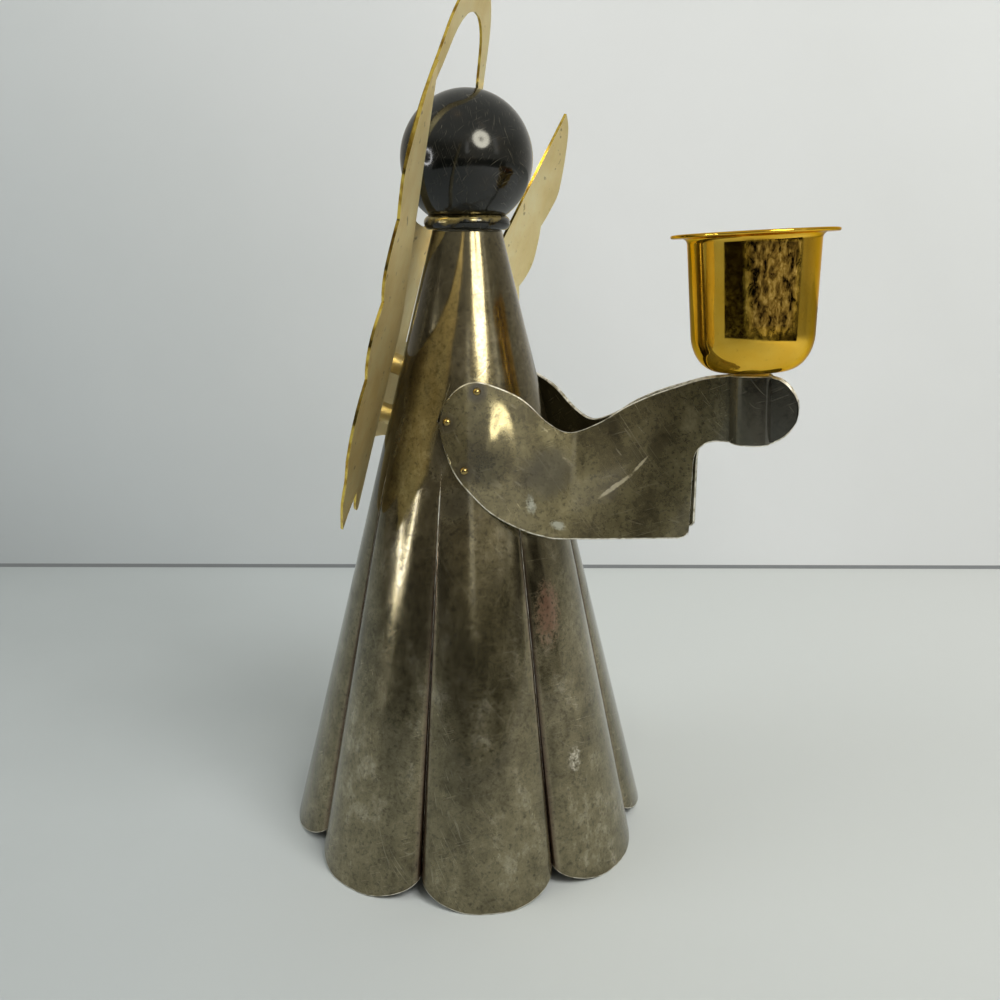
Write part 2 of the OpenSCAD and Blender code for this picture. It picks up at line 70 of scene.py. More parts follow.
def add(tree, kind, sockets=None, stops=None, **settings):
    """Adds one node with its settings. A socket is given a value, a socket to link to, or a node, which
    stands for its first output in use. Stops are the places and colours of a colour ramp."""
    made = tree.nodes.new("ShaderNode" + kind)
    for name, value in settings.items():
        setattr(made, name, value)
    for name, value in (sockets or {}).items():
        if isinstance(value, bpy.types.Node):
            value = next(s for s in value.outputs if s.enabled)
        if isinstance(value, bpy.types.NodeSocket):
            tree.links.new(value, made.inputs[name])
        else:
            made.inputs[name].default_value = value
    for i, (place, colour) in enumerate(stops or []):
        point = made.color_ramp.elements[i] if i < 2 else made.color_ramp.elements.new(place)
        point.position, point.color = place, colour
    return made


def start_material(name):
    """A new material, its node tree and its shader."""
    made = bpy.data.materials.new(name)
    made.use_nodes = True
    return made, made.node_tree, made.node_tree.nodes["Principled BSDF"]


def verts_of(geom):
    return [g for g in geom if isinstance(g, bmesh.types.BMVert)]


def edges_of(geom):
    return [g for g in geom if isinstance(g, bmesh.types.BMEdge)]


def keep_piece(bm, name, material, node, smooth=True, turned=False):
    """Makes a finished bmesh a piece that rides on the body and stands for its CAD node. Its faces are
    turned outwards, unless that is done."""
    mesh = bpy.data.meshes.new(name)
    if not turned:
        bmesh.ops.recalc_face_normals(bm, faces=bm.faces)
    bm.to_mesh(mesh)
    bm.free()
    if smooth:
        mesh.shade_smooth()
    else:
        mesh.shade_flat()
    piece = bpy.data.objects.new(name, mesh)
    bpy.context.scene.collection.objects.link(piece)
    mesh.materials.append(material)
    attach(piece, "root")
    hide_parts(node)
    return piece


def round_edges(piece, width, angle=40, segments=2, material=-1, held=True):
    """Breaks the sharp edges of a piece, as tumbling and wear do."""
    made = piece.modifiers.new("worn edges", "BEVEL")
    made.use_clamp_overlap = held
    made.width, made.segments, made.limit_method = width, segments, "ANGLE"
    made.material = material
    made.angle_limit = math.radians(angle)
    made.harden_normals = True


def scratched(tree, place, lies, wide, fine, rise):
    """Scratches in several directions, each with a turn, a length and the noise at which they start."""
    found = None
    for turn, length, least in lies:
        laid = add(tree, "Mapping", {"Vector": place, "Rotation": turn, "Scale": (length, wide, fine)},
                   vector_type="TEXTURE")
        streak = add(tree, "TexNoise", {"Vector": laid, "Scale": 1.0, "Detail": 1})
        cut = add(tree, "MapRange", {"Value": streak, "From Min": least, "From Max": least + rise})
        found = cut if found is None else add(tree, "Math", {0: found, 1: cut}, operation="MAXIMUM")
    return found


# Tarnished silver plate: a dull metal whose yellow-grey, olive and brown films lie in clouds that were
# wiped up and down. Handling left fine scratches in all directions, small dark pits and chalky marks.
def tarnished_plate(name, shades, dark_top_from, dark_top_to, hand_from, hand_to, gloss, film, marks, bulge=None):
    material, tree, shader = start_material(name)
    place = add(tree, "TexCoord").outputs["Object"]
    split = add(tree, "SeparateXYZ", {"Vector": place})
    wiped = add(tree, "Mapping", {"Vector": place, "Scale": (7 * MM, 7 * MM, 19 * MM)},
                vector_type="TEXTURE")
    clouds = add(tree, "TexNoise", {"Vector": place, "Scale": 1 / (24 * MM), "Detail": 5, "Roughness": 0.6})
    films = add(tree, "TexNoise", {"Vector": wiped, "Scale": 1.0, "Detail": 6, "Roughness": 0.65})
    grain = add(tree, "TexNoise", {"Vector": place, "Scale": 1 / (0.9 * MM), "Detail": 4, "Roughness": 0.75})
    smudges = add(tree, "TexNoise", {"Vector": place, "Scale": 1 / (4.5 * MM), "Detail": 8,
                                     "Roughness": 0.72})
    mixed = add(tree, "Math", {0: clouds, 1: films}, operation="ADD")
    halved = add(tree, "Math", {0: mixed, 1: 0.3}, operation="MULTIPLY")
    spread = add(tree, "Math", {0: smudges, 1: 0.4, 2: halved}, operation="MULTIPLY_ADD")
    base = add(tree, "ValToRGB", {"Fac": spread}, stops=[
        (0.36, srgb(shades[0])), (0.64, srgb(shades[3])), (0.45, srgb(shades[1])), (0.54, srgb(shades[2]))])
    # Painted darker reflection towards the top: an olive tone, in clouds, that darkens the upper part
    top_shade = add(tree, "MapRange", {"Value": split.outputs["Z"], "From Min": dark_top_from, "From Max": dark_top_to},
               interpolation_type="SMOOTHSTEP")
    top_shade_cloud = add(tree, "Math", {0: top_shade, 1: films}, operation="MULTIPLY")
    top_shade_more = add(tree, "Math", {0: top_shade_cloud, 1: 1.4}, operation="MULTIPLY", use_clamp=True)
    top_shaded = add(tree, "Mix", {"Factor": top_shade_more, "A": base, "B": srgb("5c533c")}, data_type="RGBA")
    # Darker, bluer film on the hands, which the candle's soot reached
    dark = add(tree, "MapRange", {"Value": split.outputs["X"], "From Min": hand_from, "From Max": hand_to},
               interpolation_type="SMOOTHSTEP")
    sooty = add(tree, "Mix", {"Factor": dark, "A": top_shaded, "B": srgb("55534a")}, data_type="RGBA")
    # Dirt that polishing left in the pleats, reddish at its margins
    creases = add(tree, "Attribute", attribute_name="crease")
    stained = add(tree, "MapRange", {"Value": creases.outputs["Fac"], "To Max": 0.75, "From Max": 0.3})
    reddish = add(tree, "Mix", {"Factor": stained, "A": sooty, "B": srgb("6b5142")}, data_type="RGBA")
    dirty = add(tree, "Mix", {"Factor": creases.outputs["Fac"], "A": reddish, "B": srgb("1d1712")},
                data_type="RGBA")
    # Painted highlights along the ridges beside the pleats, in patches
    ridge_highlight = add(tree, "ValToRGB", {"Fac": creases.outputs["Fac"]}, stops=[
        (0.0, srgb("000000")), (0.4, srgb("000000")), (0.05, srgb("9a9a9a")), (0.16, srgb("707070"))])
    patchy_ridge_highlight = add(tree, "Math", {0: ridge_highlight, 1: films}, operation="MULTIPLY")
    rubbed = add(tree, "Mix", {"Factor": patchy_ridge_highlight, "A": dirty, "B": srgb("cfc3a4")}, data_type="RGBA")
    pits = add(tree, "ValToRGB", {"Fac": grain}, stops=[(0.32, srgb("4a4a4a")), (0.5, srgb("ffffff"))])
    pitted = add(tree, "Mix", {"Factor": 0.6, "A": rubbed, "B": pits}, data_type="RGBA",
                 blend_type="MULTIPLY")
    # Fine scratches that lie in three directions and gather in some places
    lies = [((0.4, 0.9, 0.2), 26 * MM, 0.68), ((1.1, -0.7, 0.8), 18 * MM, 0.69),
            ((-0.5, 0.25, 1.3), 34 * MM, 0.68)]
    scratches = scratched(tree, place, lies, 6 * MM, 0.15 * MM, 0.07)
    gathered = add(tree, "MapRange", {"Value": clouds, "From Min": 0.62, "From Max": 0.4, "To Min": 0.04,
                                      "To Max": 0.25})
    faint = add(tree, "Math", {0: scratches, 1: gathered}, operation="MULTIPLY")
    worn = add(tree, "Mix", {"Factor": faint, "A": pitted, "B": srgb("cfc8b2")}, data_type="RGBA")
    # Marks, each a ragged patch of its own size, turn and tint: chalk and stains, and also painted shade
    colour, chalk_and_shade = worn, None
    for spot, size, turn, tint, least in marks:
        over = add(tree, "Mapping", {"Vector": place, "Location": spot, "Rotation": (0, turn, 0),
                                     "Scale": size}, vector_type="TEXTURE")
        away = add(tree, "VectorMath", {0: over}, operation="LENGTH")
        near = add(tree, "MapRange", {"Value": away.outputs["Value"], "From Min": 1.0, "From Max": 0.1})
        ragged = add(tree, "Math", {0: near, 1: grain}, operation="MULTIPLY")
        patch = add(tree, "MapRange", {"Value": ragged, "From Min": least, "From Max": least + 0.16,
                                       "To Max": 0.7})
        colour = add(tree, "Mix", {"Factor": patch, "A": colour, "B": srgb(tint)}, data_type="RGBA")
        chalk_and_shade = patch if chalk_and_shade is None else add(tree, "Math", {0: chalk_and_shade, 1: patch}, operation="MAXIMUM")
    tree.links.new(colour.outputs["Result"], shader.inputs["Base Color"])
    rough = add(tree, "MapRange", {"Value": films, "From Min": 0.3, "From Max": 0.7, "To Min": gloss,
                                   "To Max": gloss + 0.13})
    low = add(tree, "MapRange", {"Value": split.outputs["Z"], "From Min": 85 * MM, "From Max": 25 * MM,
                                 "To Max": 0.08})
    rougher = add(tree, "Math", {0: rough, 1: low}, operation="ADD")
    scuffed = add(tree, "Math", {0: faint, 1: 0.15, 2: rougher}, operation="MULTIPLY_ADD")
    tree.links.new(scuffed.outputs[0], shader.inputs["Roughness"])
    shader.inputs["Metallic"].default_value = 1 - film
    shader.inputs["Coat Weight"].default_value = 0.4
    shader.inputs["Coat Roughness"].default_value = 0.07
    if chalk_and_shade is not None:
        bare = add(tree, "Math", {0: 1 - film, 1: chalk_and_shade}, operation="SUBTRACT", use_clamp=True)
        tree.links.new(bare.outputs[0], shader.inputs["Metallic"])
    # Unevenness of hand-rolled sheet, and the relief of the films and scratches
    waves = add(tree, "TexNoise", {"Vector": wiped, "Scale": 0.45, "Detail": 2})
    soft = add(tree, "Bump", {"Height": waves, "Strength": 0.5, "Distance": 0.6 * MM})
    if bulge is not None:
        over = add(tree, "Mapping", {"Vector": place, "Location": bulge[0], "Scale": bulge[1]},
                   vector_type="TEXTURE")
        away = add(tree, "VectorMath", {0: over}, operation="LENGTH")
        dome = add(tree, "MapRange", {"Value": away.outputs["Value"], "From Min": 1.0, "From Max": 0.0},
                   interpolation_type="SMOOTHSTEP")
        soft = add(tree, "Bump", {"Height": dome, "Strength": 1.0, "Distance": bulge[2], "Normal": soft})
    fine = add(tree, "Bump", {"Height": grain, "Strength": 0.2, "Distance": 0.03 * MM, "Normal": soft})
    cuts = add(tree, "Bump", {"Height": faint, "Strength": 0.3, "Distance": 0.03 * MM, "Normal": fine},
               invert=True)
    tree.links.new(cuts.outputs[0], shader.inputs["Normal"])
    return material


# Sheared edge of that plate, with dark nicks and a near-white painted highlight along it
edge_with_highlight, tree, shader = start_material("sheared edge of silver plate, painted highlight")
place = add(tree, "TexCoord").outputs["Object"]
nicks = add(tree, "TexNoise", {"Vector": place, "Scale": 1 / (1.5 * MM), "Detail": 4})
tone = add(tree, "ValToRGB", {"Fac": nicks}, stops=[(0.36, srgb("a39a80")), (0.56, srgb("f4f0e2"))])
tree.links.new(tone.outputs["Color"], shader.inputs["Base Color"])
shader.inputs["Metallic"].default_value = 0.25
shader.inputs["Roughness"].default_value = 0.38

# Its marks have a place, a size, a turn, a tint and a spread: two chalky ones low on the right, a reddish
# patch at mid height, painted shade beside the near shoulder, and a painted dark reflection down the left
# side
robe_plate = tarnished_plate(
    "tarnished silver plate, robe", ("463e2c", "6e664d", "8a8165", "b8b098"),
    60 * MM, 150 * MM, 60 * MM, 80 * MM, 0.09, 0.1,
    [((axis_x + 33 * MM, -17 * MM, 29 * MM), (5 * MM, 5 * MM, 9 * MM), 0.3, "c2bdad", 0.26),
     ((axis_x + 35 * MM, -17 * MM, 21 * MM), (3 * MM, 4 * MM, 6 * MM), -0.3, "c2bdad", 0.26),
     ((axis_x + 26 * MM, -14 * MM, 65 * MM), (7 * MM, 7 * MM, 24 * MM), 0.2, "6c4a3e", 0.2),
     # Painted shade on the cone beside the near shoulder
     ((axis_x + 1.5 * MM, -17 * MM, 94 * MM), (4 * MM, 6 * MM, 13 * MM), 0.1, "1f1a10", 0.14),
     ((axis_x + 5 * MM, -19 * MM, 83 * MM), (6 * MM, 6 * MM, 7 * MM), 0.5, "1f1a10", 0.16),
     # Painted dark reflection down the cone's left side
     ((axis_x - 8.5 * MM, -9.5 * MM, 117 * MM), (4.5 * MM, 6 * MM, 22 * MM), 0.2, "171209", 0.1),
     ((axis_x - 13 * MM, -14 * MM, 93 * MM), (5 * MM, 7 * MM, 22 * MM), 0.2, "171209", 0.1)])


def crest_share(angle):
    """How near a direction is to the crest of a pleat: 1 on it, 0 in the crease between two."""
    return abs(math.cos(pleats / 2 * (angle - first_crest))) ** pleat_sharp


def hem_z(angle):
    """Height of the hem, which stands on the crests and is cut higher at the creases."""
    return hem_lift * max(0, 1 - crest_share(angle) - landing) / (1 - landing)


def cone_r(z):
    return neck_r + (hem_r - neck_r) * (robe_h - z) / robe_h


def pleat_depth(z):
    """Depth of the creases, which fade out upwards."""
    return pleat_d * max(0, (pleat_h - z) / pleat_h) ** pleat_fade


# The sheet starts as a ring of edges that is drawn up row by row and then pressed into its pleats
lobe_steps, robe_rows = 28, 90
robe_bm = bmesh.new()
bmesh.ops.create_circle(robe_bm, cap_ends=False, segments=2 * lobe_steps * pleats, radius=hem_r)
ring = robe_bm.edges[:]
for row in range(robe_rows):
    drawn = bmesh.ops.extrude_edge_only(robe_bm, edges=ring)["geom"]
    ring = edges_of(drawn)
    bmesh.ops.translate(robe_bm, vec=(0, 0, robe_h / robe_rows), verts=verts_of(drawn))
crease_layer = robe_bm.verts.layers.float.new("crease")
for v in robe_bm.verts:
    step = round(math.atan2(v.co.y, v.co.x) / (2 * math.pi) * 2 * lobe_steps * pleats)
    lobe, part = divmod(step + lobe_steps, 2 * lobe_steps)
    angle = first_crest + math.pi / pleats * (2 * lobe + math.sin(math.pi / 2 * (part / lobe_steps - 1)))
    share = v.co.z / robe_h
    z = share * robe_h + (hem_z(angle) + hem_clear) * max(0, 1 - share * robe_h / pleat_h)
    depth = pleat_depth(z)
    r = cone_r(z) - depth * (1 - crest_share(angle))
    v.co = Vector((axis_x + r * math.cos(angle), r * math.sin(angle), z))
    v[crease_layer] = max(0, 1 - crest_share(angle) / 0.42) ** 1.5 * min(1, depth / (1.2 * MM))
robe = keep_piece(robe_bm, "robe_sheet", robe_plate, "robe")
robe_shell = robe.modifiers.new("sheet", "SOLIDIFY")
robe_shell.thickness, robe_shell.offset, robe_shell.material_offset_rim = robe_wall * 0.95, -1, 1
robe.data.materials.append(edge_with_highlight)
round_edges(robe, 0.2 * MM, angle=75, material=1, held=False)

# Neck washer and neck screw
# The screw pulls the ball down on the collar; its washer is wedged inside the cone. Both are zinc-plated
# steel, turned and pressed, with the fine grey crystals of the plating.
zinc, tree, shader = start_material("zinc-plated steel")
place = add(tree, "TexCoord").outputs["Object"]
crystals = add(tree, "TexVoronoi", {"Vector": place, "Scale": 1 / (0.5 * MM)})
dulled = add(tree, "TexNoise", {"Vector": place, "Scale": 1 / (2 * MM), "Detail": 4})
tone = add(tree, "ValToRGB", {"Fac": dulled}, stops=[(0.3, srgb("8d8c86")), (0.7, srgb("bcbcb6"))])
tree.links.new(tone.outputs["Color"], shader.inputs["Base Color"])
shine = add(tree, "MapRange", {"Value": crystals.outputs["Distance"], "To Min": 0.28, "To Max": 0.5})
tree.links.new(shine.outputs[0], shader.inputs["Roughness"])
shader.inputs["Metallic"].default_value = 1.0
for name in ("neck_washer", "neck_screw", "wing_nuts", "cup_washer", "cup_screw"):
    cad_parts[name].data.materials.clear()
    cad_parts[name].data.materials.append(zinc)

# Head and collar ring
# A turned steel ball and a rolled ring, blackened in a hot bath and waxed: near black with a deep gloss,
# rubbed brown and brassy where fingers and the ring's top edge have worn it.
head_low, head_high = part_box("head_ball")
head_r = (head_high.y - head_low.y) / 2
head_z = head_high.z - head_r


def blackened(name, worn_from, worn_to, worn_tint):
    material, tree, shader = start_material(name)
    place = add(tree, "TexCoord").outputs["Object"]
    split = add(tree, "SeparateXYZ", {"Vector": place})
    film = add(tree, "TexNoise", {"Vector": place, "Scale": 1 / (6 * MM), "Detail": 6, "Roughness": 0.65})
    tone = add(tree, "ValToRGB", {"Fac": film}, stops=[
        (0.4, srgb("101210")), (0.72, srgb("2b241a")), (0.58, srgb("181815"))])
    rubbed = add(tree, "MapRange", {"Value": split.outputs["Z"], "From Min": worn_from, "From Max": worn_to})
    patchy = add(tree, "Math", {0: rubbed, 1: film}, operation="MULTIPLY")
    bare = add(tree, "MapRange", {"Value": patchy, "From Min": 0.35, "From Max": 0.5})
    colour = add(tree, "Mix", {"Factor": bare, "A": tone, "B": srgb(worn_tint)}, data_type="RGBA")
    lies = [((0.3, 1.2, 0.4), 6 * MM, 0.68), ((1.1, 0.5, -0.6), 4 * MM, 0.69),
            ((2.2, -0.4, 0.9), 9 * MM, 0.7)]
    scratches = scratched(tree, place, lies, 2 * MM, 0.13 * MM, 0.08)
    faint = add(tree, "Math", {0: scratches, 1: film}, operation="MULTIPLY")
    scored = add(tree, "Mix", {"Factor": faint, "A": colour, "B": srgb("6f6a5c")}, data_type="RGBA")
    tree.links.new(scored.outputs["Result"], shader.inputs["Base Color"])
    rough = add(tree, "MapRange", {"Value": film, "From Min": 0.3, "From Max": 0.75, "To Min": 0.06,
                                   "To Max": 0.2})
    tree.links.new(rough.outputs[0], shader.inputs["Roughness"])
    tree.links.new(bare.outputs[0], shader.inputs["Metallic"])
    relief = add(tree, "Bump", {"Height": film, "Strength": 0.15, "Distance": 0.1 * MM})
    tree.links.new(relief.outputs[0], shader.inputs["Normal"])
    return material


head_bm = bmesh.new()
bmesh.ops.create_uvsphere(head_bm, u_segments=128, v_segments=64, radius=head_r,
                          matrix=Matrix.Translation((axis_x, 0, head_z)))
keep_piece(head_bm, "head", blackened("blackened steel, head", head_z, head_z - 3 * head_r, "4a3a24"),
           "head_ball")


def spun(profile, steps=128):
    """A closed profile of (radius, height) points turned about Z, as on a lathe."""
    bm = bmesh.new()
    verts = [bm.verts.new((r, 0, z)) for r, z in profile]
    edges = [bm.edges.new((a, b)) for a, b in zip(verts, verts[1:] + verts[:1])]
    bmesh.ops.spin(bm, geom=verts + edges, cent=(0, 0, 0), axis=(0, 0, 1), angle=2 * math.pi, steps=steps,
                   use_merge=True)
    bmesh.ops.remove_doubles(bm, verts=bm.verts, dist=0.002 * MM)
    slivers = [f for f in bm.faces if f.calc_area() < 1e-14]
    bmesh.ops.delete(bm, geom=slivers, context="FACES")
    return bm


collar_low, collar_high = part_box("collar_ring")
collar_tube_r = 1.6 * MM
collar_r = (collar_high.y - collar_low.y) / 2
collar_mid_r, collar_mid_z = collar_r - collar_tube_r, robe_h + collar_tube_r * 0.9
seat_r = head_r + 0.05 * MM
collar_steps = 48
collar_profile = []
for i in range(collar_steps):
    a = 2 * math.pi * i / collar_steps
    r = collar_mid_r + collar_tube_r * math.cos(a)
    z = max(robe_h, collar_mid_z + collar_tube_r * math.sin(a))
    # Where the ball presses on it, the ring has the ball's form
    reach = math.hypot(r, head_z - z)
    if reach < seat_r:
        r, z = r * seat_r / reach, head_z - (head_z - z) * seat_r / reach
    collar_profile.append((r, z))
collar_bm = spun(collar_profile)
bmesh.ops.translate(collar_bm, vec=(axis_x, 0, 0), verts=collar_bm.verts)
worn_ring = blackened("blackened ring, collar", robe_h - 2.2 * MM, robe_h + 3.1 * MM, "b8a468")
keep_piece(collar_bm, "collar", worn_ring, "collar_ring")

# Wings and halo
# One blank of 0.6 mm brass, stamped out, bent forward at both wings and curled a little. It was brushed and
# lacquered to a satin gold, with bright cut edges and dull, browned places.
sheet_lean = math.radians(16.3)
sheet_t = 0.6 * MM
spacer_l = 4 * MM
wing_screw_z = 96.7 * MM
wing_half = 42 * MM
wing_up, wing_down = 73.8 * MM, 18.4 * MM
wing_root = 6.9 * MM
wing_fold, wing_flare = math.radians(53), math.radians(13.5)
wing_curl_r = 22 * MM
strip_w = 4 * MM
halo_gap, halo_rim = 0.75 * MM, 1.9 * MM
halo_hole_up, halo_crown = 27.3 * MM, 6.5 * MM
sheet_foot = Vector((axis_x - cone_r(wing_screw_z) - (spacer_l + sheet_t) * math.cos(sheet_lean), 0,
                     wing_screw_z + (spacer_l + sheet_t) * math.sin(sheet_lean)))
across = Vector((0, 1, 0))
upward = Vector((math.sin(sheet_lean), 0, math.cos(sheet_lean)))
forward = Vector((math.cos(sheet_lean), 0, -math.sin(sheet_lean)))
on_sheet = Matrix.Translation(sheet_foot) @ Matrix((across, upward, forward)).transposed().to_4x4()
to_head = Vector((axis_x, 0, head_z)) - sheet_foot
head_up = to_head.dot(upward)
halo_hole_r = math.sqrt(head_r ** 2 - (to_head.dot(forward) - sheet_t / 2) ** 2) + halo_gap
halo_r = halo_hole_r + halo_rim
# Outlines of one half, as shares of the sizes above: the halo's hole and rim from below upwards, and the
# wing from its root round the tip, one run for each stretch between two sharp corners
halo_hole_shares = [
    (0, -1.19), (0.38, -1.1), (0.69, -0.89), (0.92, -0.55), (1, -0.19), (1, 0.1), (0.93, 0.29),
    (0.825, 0.443), (0.7, 0.577), (0.6, 0.703), (0.5, 0.818), (0.375, 0.909), (0.2, 0.978), (0, 1)]
halo_rim_shares = [
    (0.3, -1.485), (0.47, -1.28), (0.7, -1.03), (0.887, -0.72), (0.987, -0.34), (1, 0.02), (0.953, 0.22),
    (0.86, 0.389), (0.773, 0.513), (0.707, 0.614), (0.627, 0.729), (0.487, 0.852), (0.28, 0.954), (0, 1)]
wing_runs = [
    [(0, -0.34), (0.095, -0.37), (0.19, -0.44), (0.274, -0.66), (0.345, -0.9), (0.405, -0.96),
     (0.464, -0.88), (0.536, -0.62)],
    [(0.536, -0.62), (0.607, -0.82), (0.648, -1)],
    [(0.648, -1), (0.762, -0.6), (0.798, -0.28)],
    [(0.798, -0.28), (0.852, -0.03), (0.886, 0.079), (0.881, 0.163), (0.848, 0.23)],
    [(0.848, 0.23), (0.893, 0.27), (0.919, 0.32), (0.91, 0.376), (0.862, 0.435)],
    [(0.862, 0.435), (0.912, 0.475), (0.94, 0.524), (0.933, 0.596), (0.917, 0.642)],
    [(0.917, 0.642), (0.955, 0.682), (1, 0.745), (0.998, 0.795), (0.967, 0.881), (0.921, 0.959), (0.86, 1)],
    [(0.86, 1), (0.79, 0.897), (0.721, 0.797), (0.605, 0.629), (0.481, 0.451), (0.381, 0.323),
     (0.286, 0.244), (0.167, 0.219), (0.098, 0.224)]]


def smooth_run(points, steps):
    """Points on a smooth line through the given ones."""
    points = [Vector(p) for p in points]
    made = []
    for i in range(len(points) - 1):
        a, b, c, d = (points[max(0, min(len(points) - 1, i + k))] for k in (-1, 0, 1, 2))
        for k in range(steps):
            t = k / steps
            curve = (c - a) * t + (2 * a - 5 * b + 4 * c - d) * t ** 2 + (3 * b - a - 3 * c + d) * t ** 3
            made.append(b + curve / 2)
    return made + [points[-1]]


def bend_of(u):
    """How far the wing stands forward at a distance from its centre line, and its slope there."""
    out = abs(u) - wing_root
    if out <= 0:
        return 0.0, 0.0
    curl_out = wing_curl_r * (math.sin(wing_fold) - math.sin(wing_flare))
    slope = math.asin(max(math.sin(wing_fold) - out / wing_curl_r, math.sin(wing_flare)))
    bend = wing_curl_r * (math.cos(slope) - math.cos(wing_fold))
    return bend + max(0, out - curl_out) * math.tan(wing_flare), slope


# Lacquered satin brass: its fine brushing spreads the light, so the sheet looks pale gold and nearly even,
# with brown specks where the lacquer let the air in
satin_brass, tree, shader = start_material("lacquered satin brass")
place = add(tree, "TexCoord").outputs["Object"]
clouds = add(tree, "TexNoise", {"Vector": place, "Scale": 1 / (12 * MM), "Detail": 5, "Roughness": 0.6})
tone = add(tree, "ValToRGB", {"Fac": clouds}, stops=[
    (0.32, srgb("f0dba0")), (0.68, srgb("fff3c6")), (0.48, srgb("f9e6b0"))])
brushing = add(tree, "Mapping", {"Vector": place, "Rotation": (0, -sheet_lean, 0),
                                 "Scale": (1 / (3 * MM), 1 / (0.25 * MM), 1 / (20 * MM))})
brushed = add(tree, "TexNoise", {"Vector": brushing, "Scale": 1.0, "Detail": 3})
lined = add(tree, "Mix", {"Factor": 0.1, "A": tone, "B": brushed.outputs["Color"]}, data_type="RGBA",
            blend_type="OVERLAY")
specks = add(tree, "TexNoise", {"Vector": place, "Scale": 1 / (2.2 * MM), "Detail": 3})
browned = add(tree, "MapRange", {"Value": specks, "From Min": 0.66, "From Max": 0.74, "To Max": 0.6})
spotted = add(tree, "Mix", {"Factor": browned, "A": lined, "B": srgb("7d6134")}, data_type="RGBA")
tree.links.new(spotted.outputs["Result"], shader.inputs["Base Color"])
satin = add(tree, "MapRange", {"Value": brushed, "From Min": 0.3, "From Max": 0.7, "To Min": 0.4,
                               "To Max": 0.55})
tree.links.new(satin.outputs[0], shader.inputs["Roughness"])
shader.inputs["Metallic"].default_value = 1.0
relief = add(tree, "Bump", {"Height": brushed, "Strength": 0.2, "Distance": 0.03 * MM})
tree.links.new(relief.outputs[0], shader.inputs["Normal"])

# Stamped edge of the sheet: smoother and yellower than its faces, with dark tool marks across it
edge_brass, tree, shader = start_material("stamped brass edge")
place = add(tree, "TexCoord").outputs["Object"]
nicks = add(tree, "TexNoise", {"Vector": place, "Scale": 1 / (2.5 * MM), "Detail": 4})
tone = add(tree, "ValToRGB", {"Fac": nicks}, stops=[(0.34, srgb("a8802a")), (0.56, srgb("f6d768"))])
tree.links.new(tone.outputs["Color"], shader.inputs["Base Color"])
shader.inputs["Metallic"].default_value = 1.0
shader.inputs["Roughness"].default_value = 0.16

blank = []
for run in wing_runs:
    blank += [Vector((p.x * wing_half, p.y * (wing_up if p.y > 0 else wing_down)))
              for p in smooth_run(run, 6)]
halo_line = [Vector((p.x * halo_r, head_up + p.y * (halo_hole_up + halo_crown if p.y > 0 else halo_r)))
             for p in smooth_run(halo_rim_shares, 5)]
blank += [Vector((strip_w, wing_up * 0.226)), Vector((strip_w, halo_line[0].y - strip_w / 2))] + halo_line
hole_line = [Vector((p.x * halo_hole_r, head_up + p.y * (halo_hole_up if p.y > 0 else halo_hole_r)))
             for p in smooth_run(halo_hole_shares, 5)]
wing_bm = bmesh.new()
for line in (blank, hole_line):
    whole = line + [Vector((-p.x, p.y)) for p in reversed(line)]
    verts = [wing_bm.verts.new((p.x, p.y, 0)) for p in whole]
    for a, b in zip(verts, verts[1:] + verts[:1]):
        wing_bm.edges.new((a, b))
bmesh.ops.remove_doubles(wing_bm, verts=wing_bm.verts, dist=0.01 * MM)
bmesh.ops.triangle_fill(wing_bm, edges=wing_bm.edges[:], use_beauty=True)
fold_step = 0.9 * MM
for side in (-1, 1):
    for k in range(int((wing_half - wing_root) / fold_step) + 1):
        flat_sheet = wing_bm.verts[:] + wing_bm.edges[:] + wing_bm.faces[:]
        bmesh.ops.bisect_plane(wing_bm, geom=flat_sheet, dist=0.001 * MM, plane_no=(1, 0, 0),
                               plane_co=(side * (wing_root + k * fold_step), 0, 0))
bmesh.ops.recalc_face_normals(wing_bm, faces=wing_bm.faces)
walls = bmesh.ops.extrude_face_region(wing_bm, geom=wing_bm.faces[:])["geom"]
bmesh.ops.translate(wing_bm, vec=(0, 0, sheet_t), verts=verts_of(walls))
bmesh.ops.recalc_face_normals(wing_bm, faces=wing_bm.faces)
# The side walls take the second material, and all but the halo is bent
halo_from = 30 * MM
for f in wing_bm.faces:
    f.material_index = int(abs(f.normal.z) < 0.5)
for v in wing_bm.verts:
    if v.co.y < halo_from or abs(v.co.x) > halo_r + 0.3 * MM:
        bend, slope = bend_of(v.co.x)
        v.co.z = bend + v.co.z / math.cos(slope)
bmesh.ops.transform(wing_bm, matrix=on_sheet, verts=wing_bm.verts)
wings = keep_piece(wing_bm, "wings_and_halo_sheet", satin_brass, "wings_and_halo")
wings.data.materials.append(edge_brass)
round_edges(wings, 0.12 * MM, angle=50, material=1)

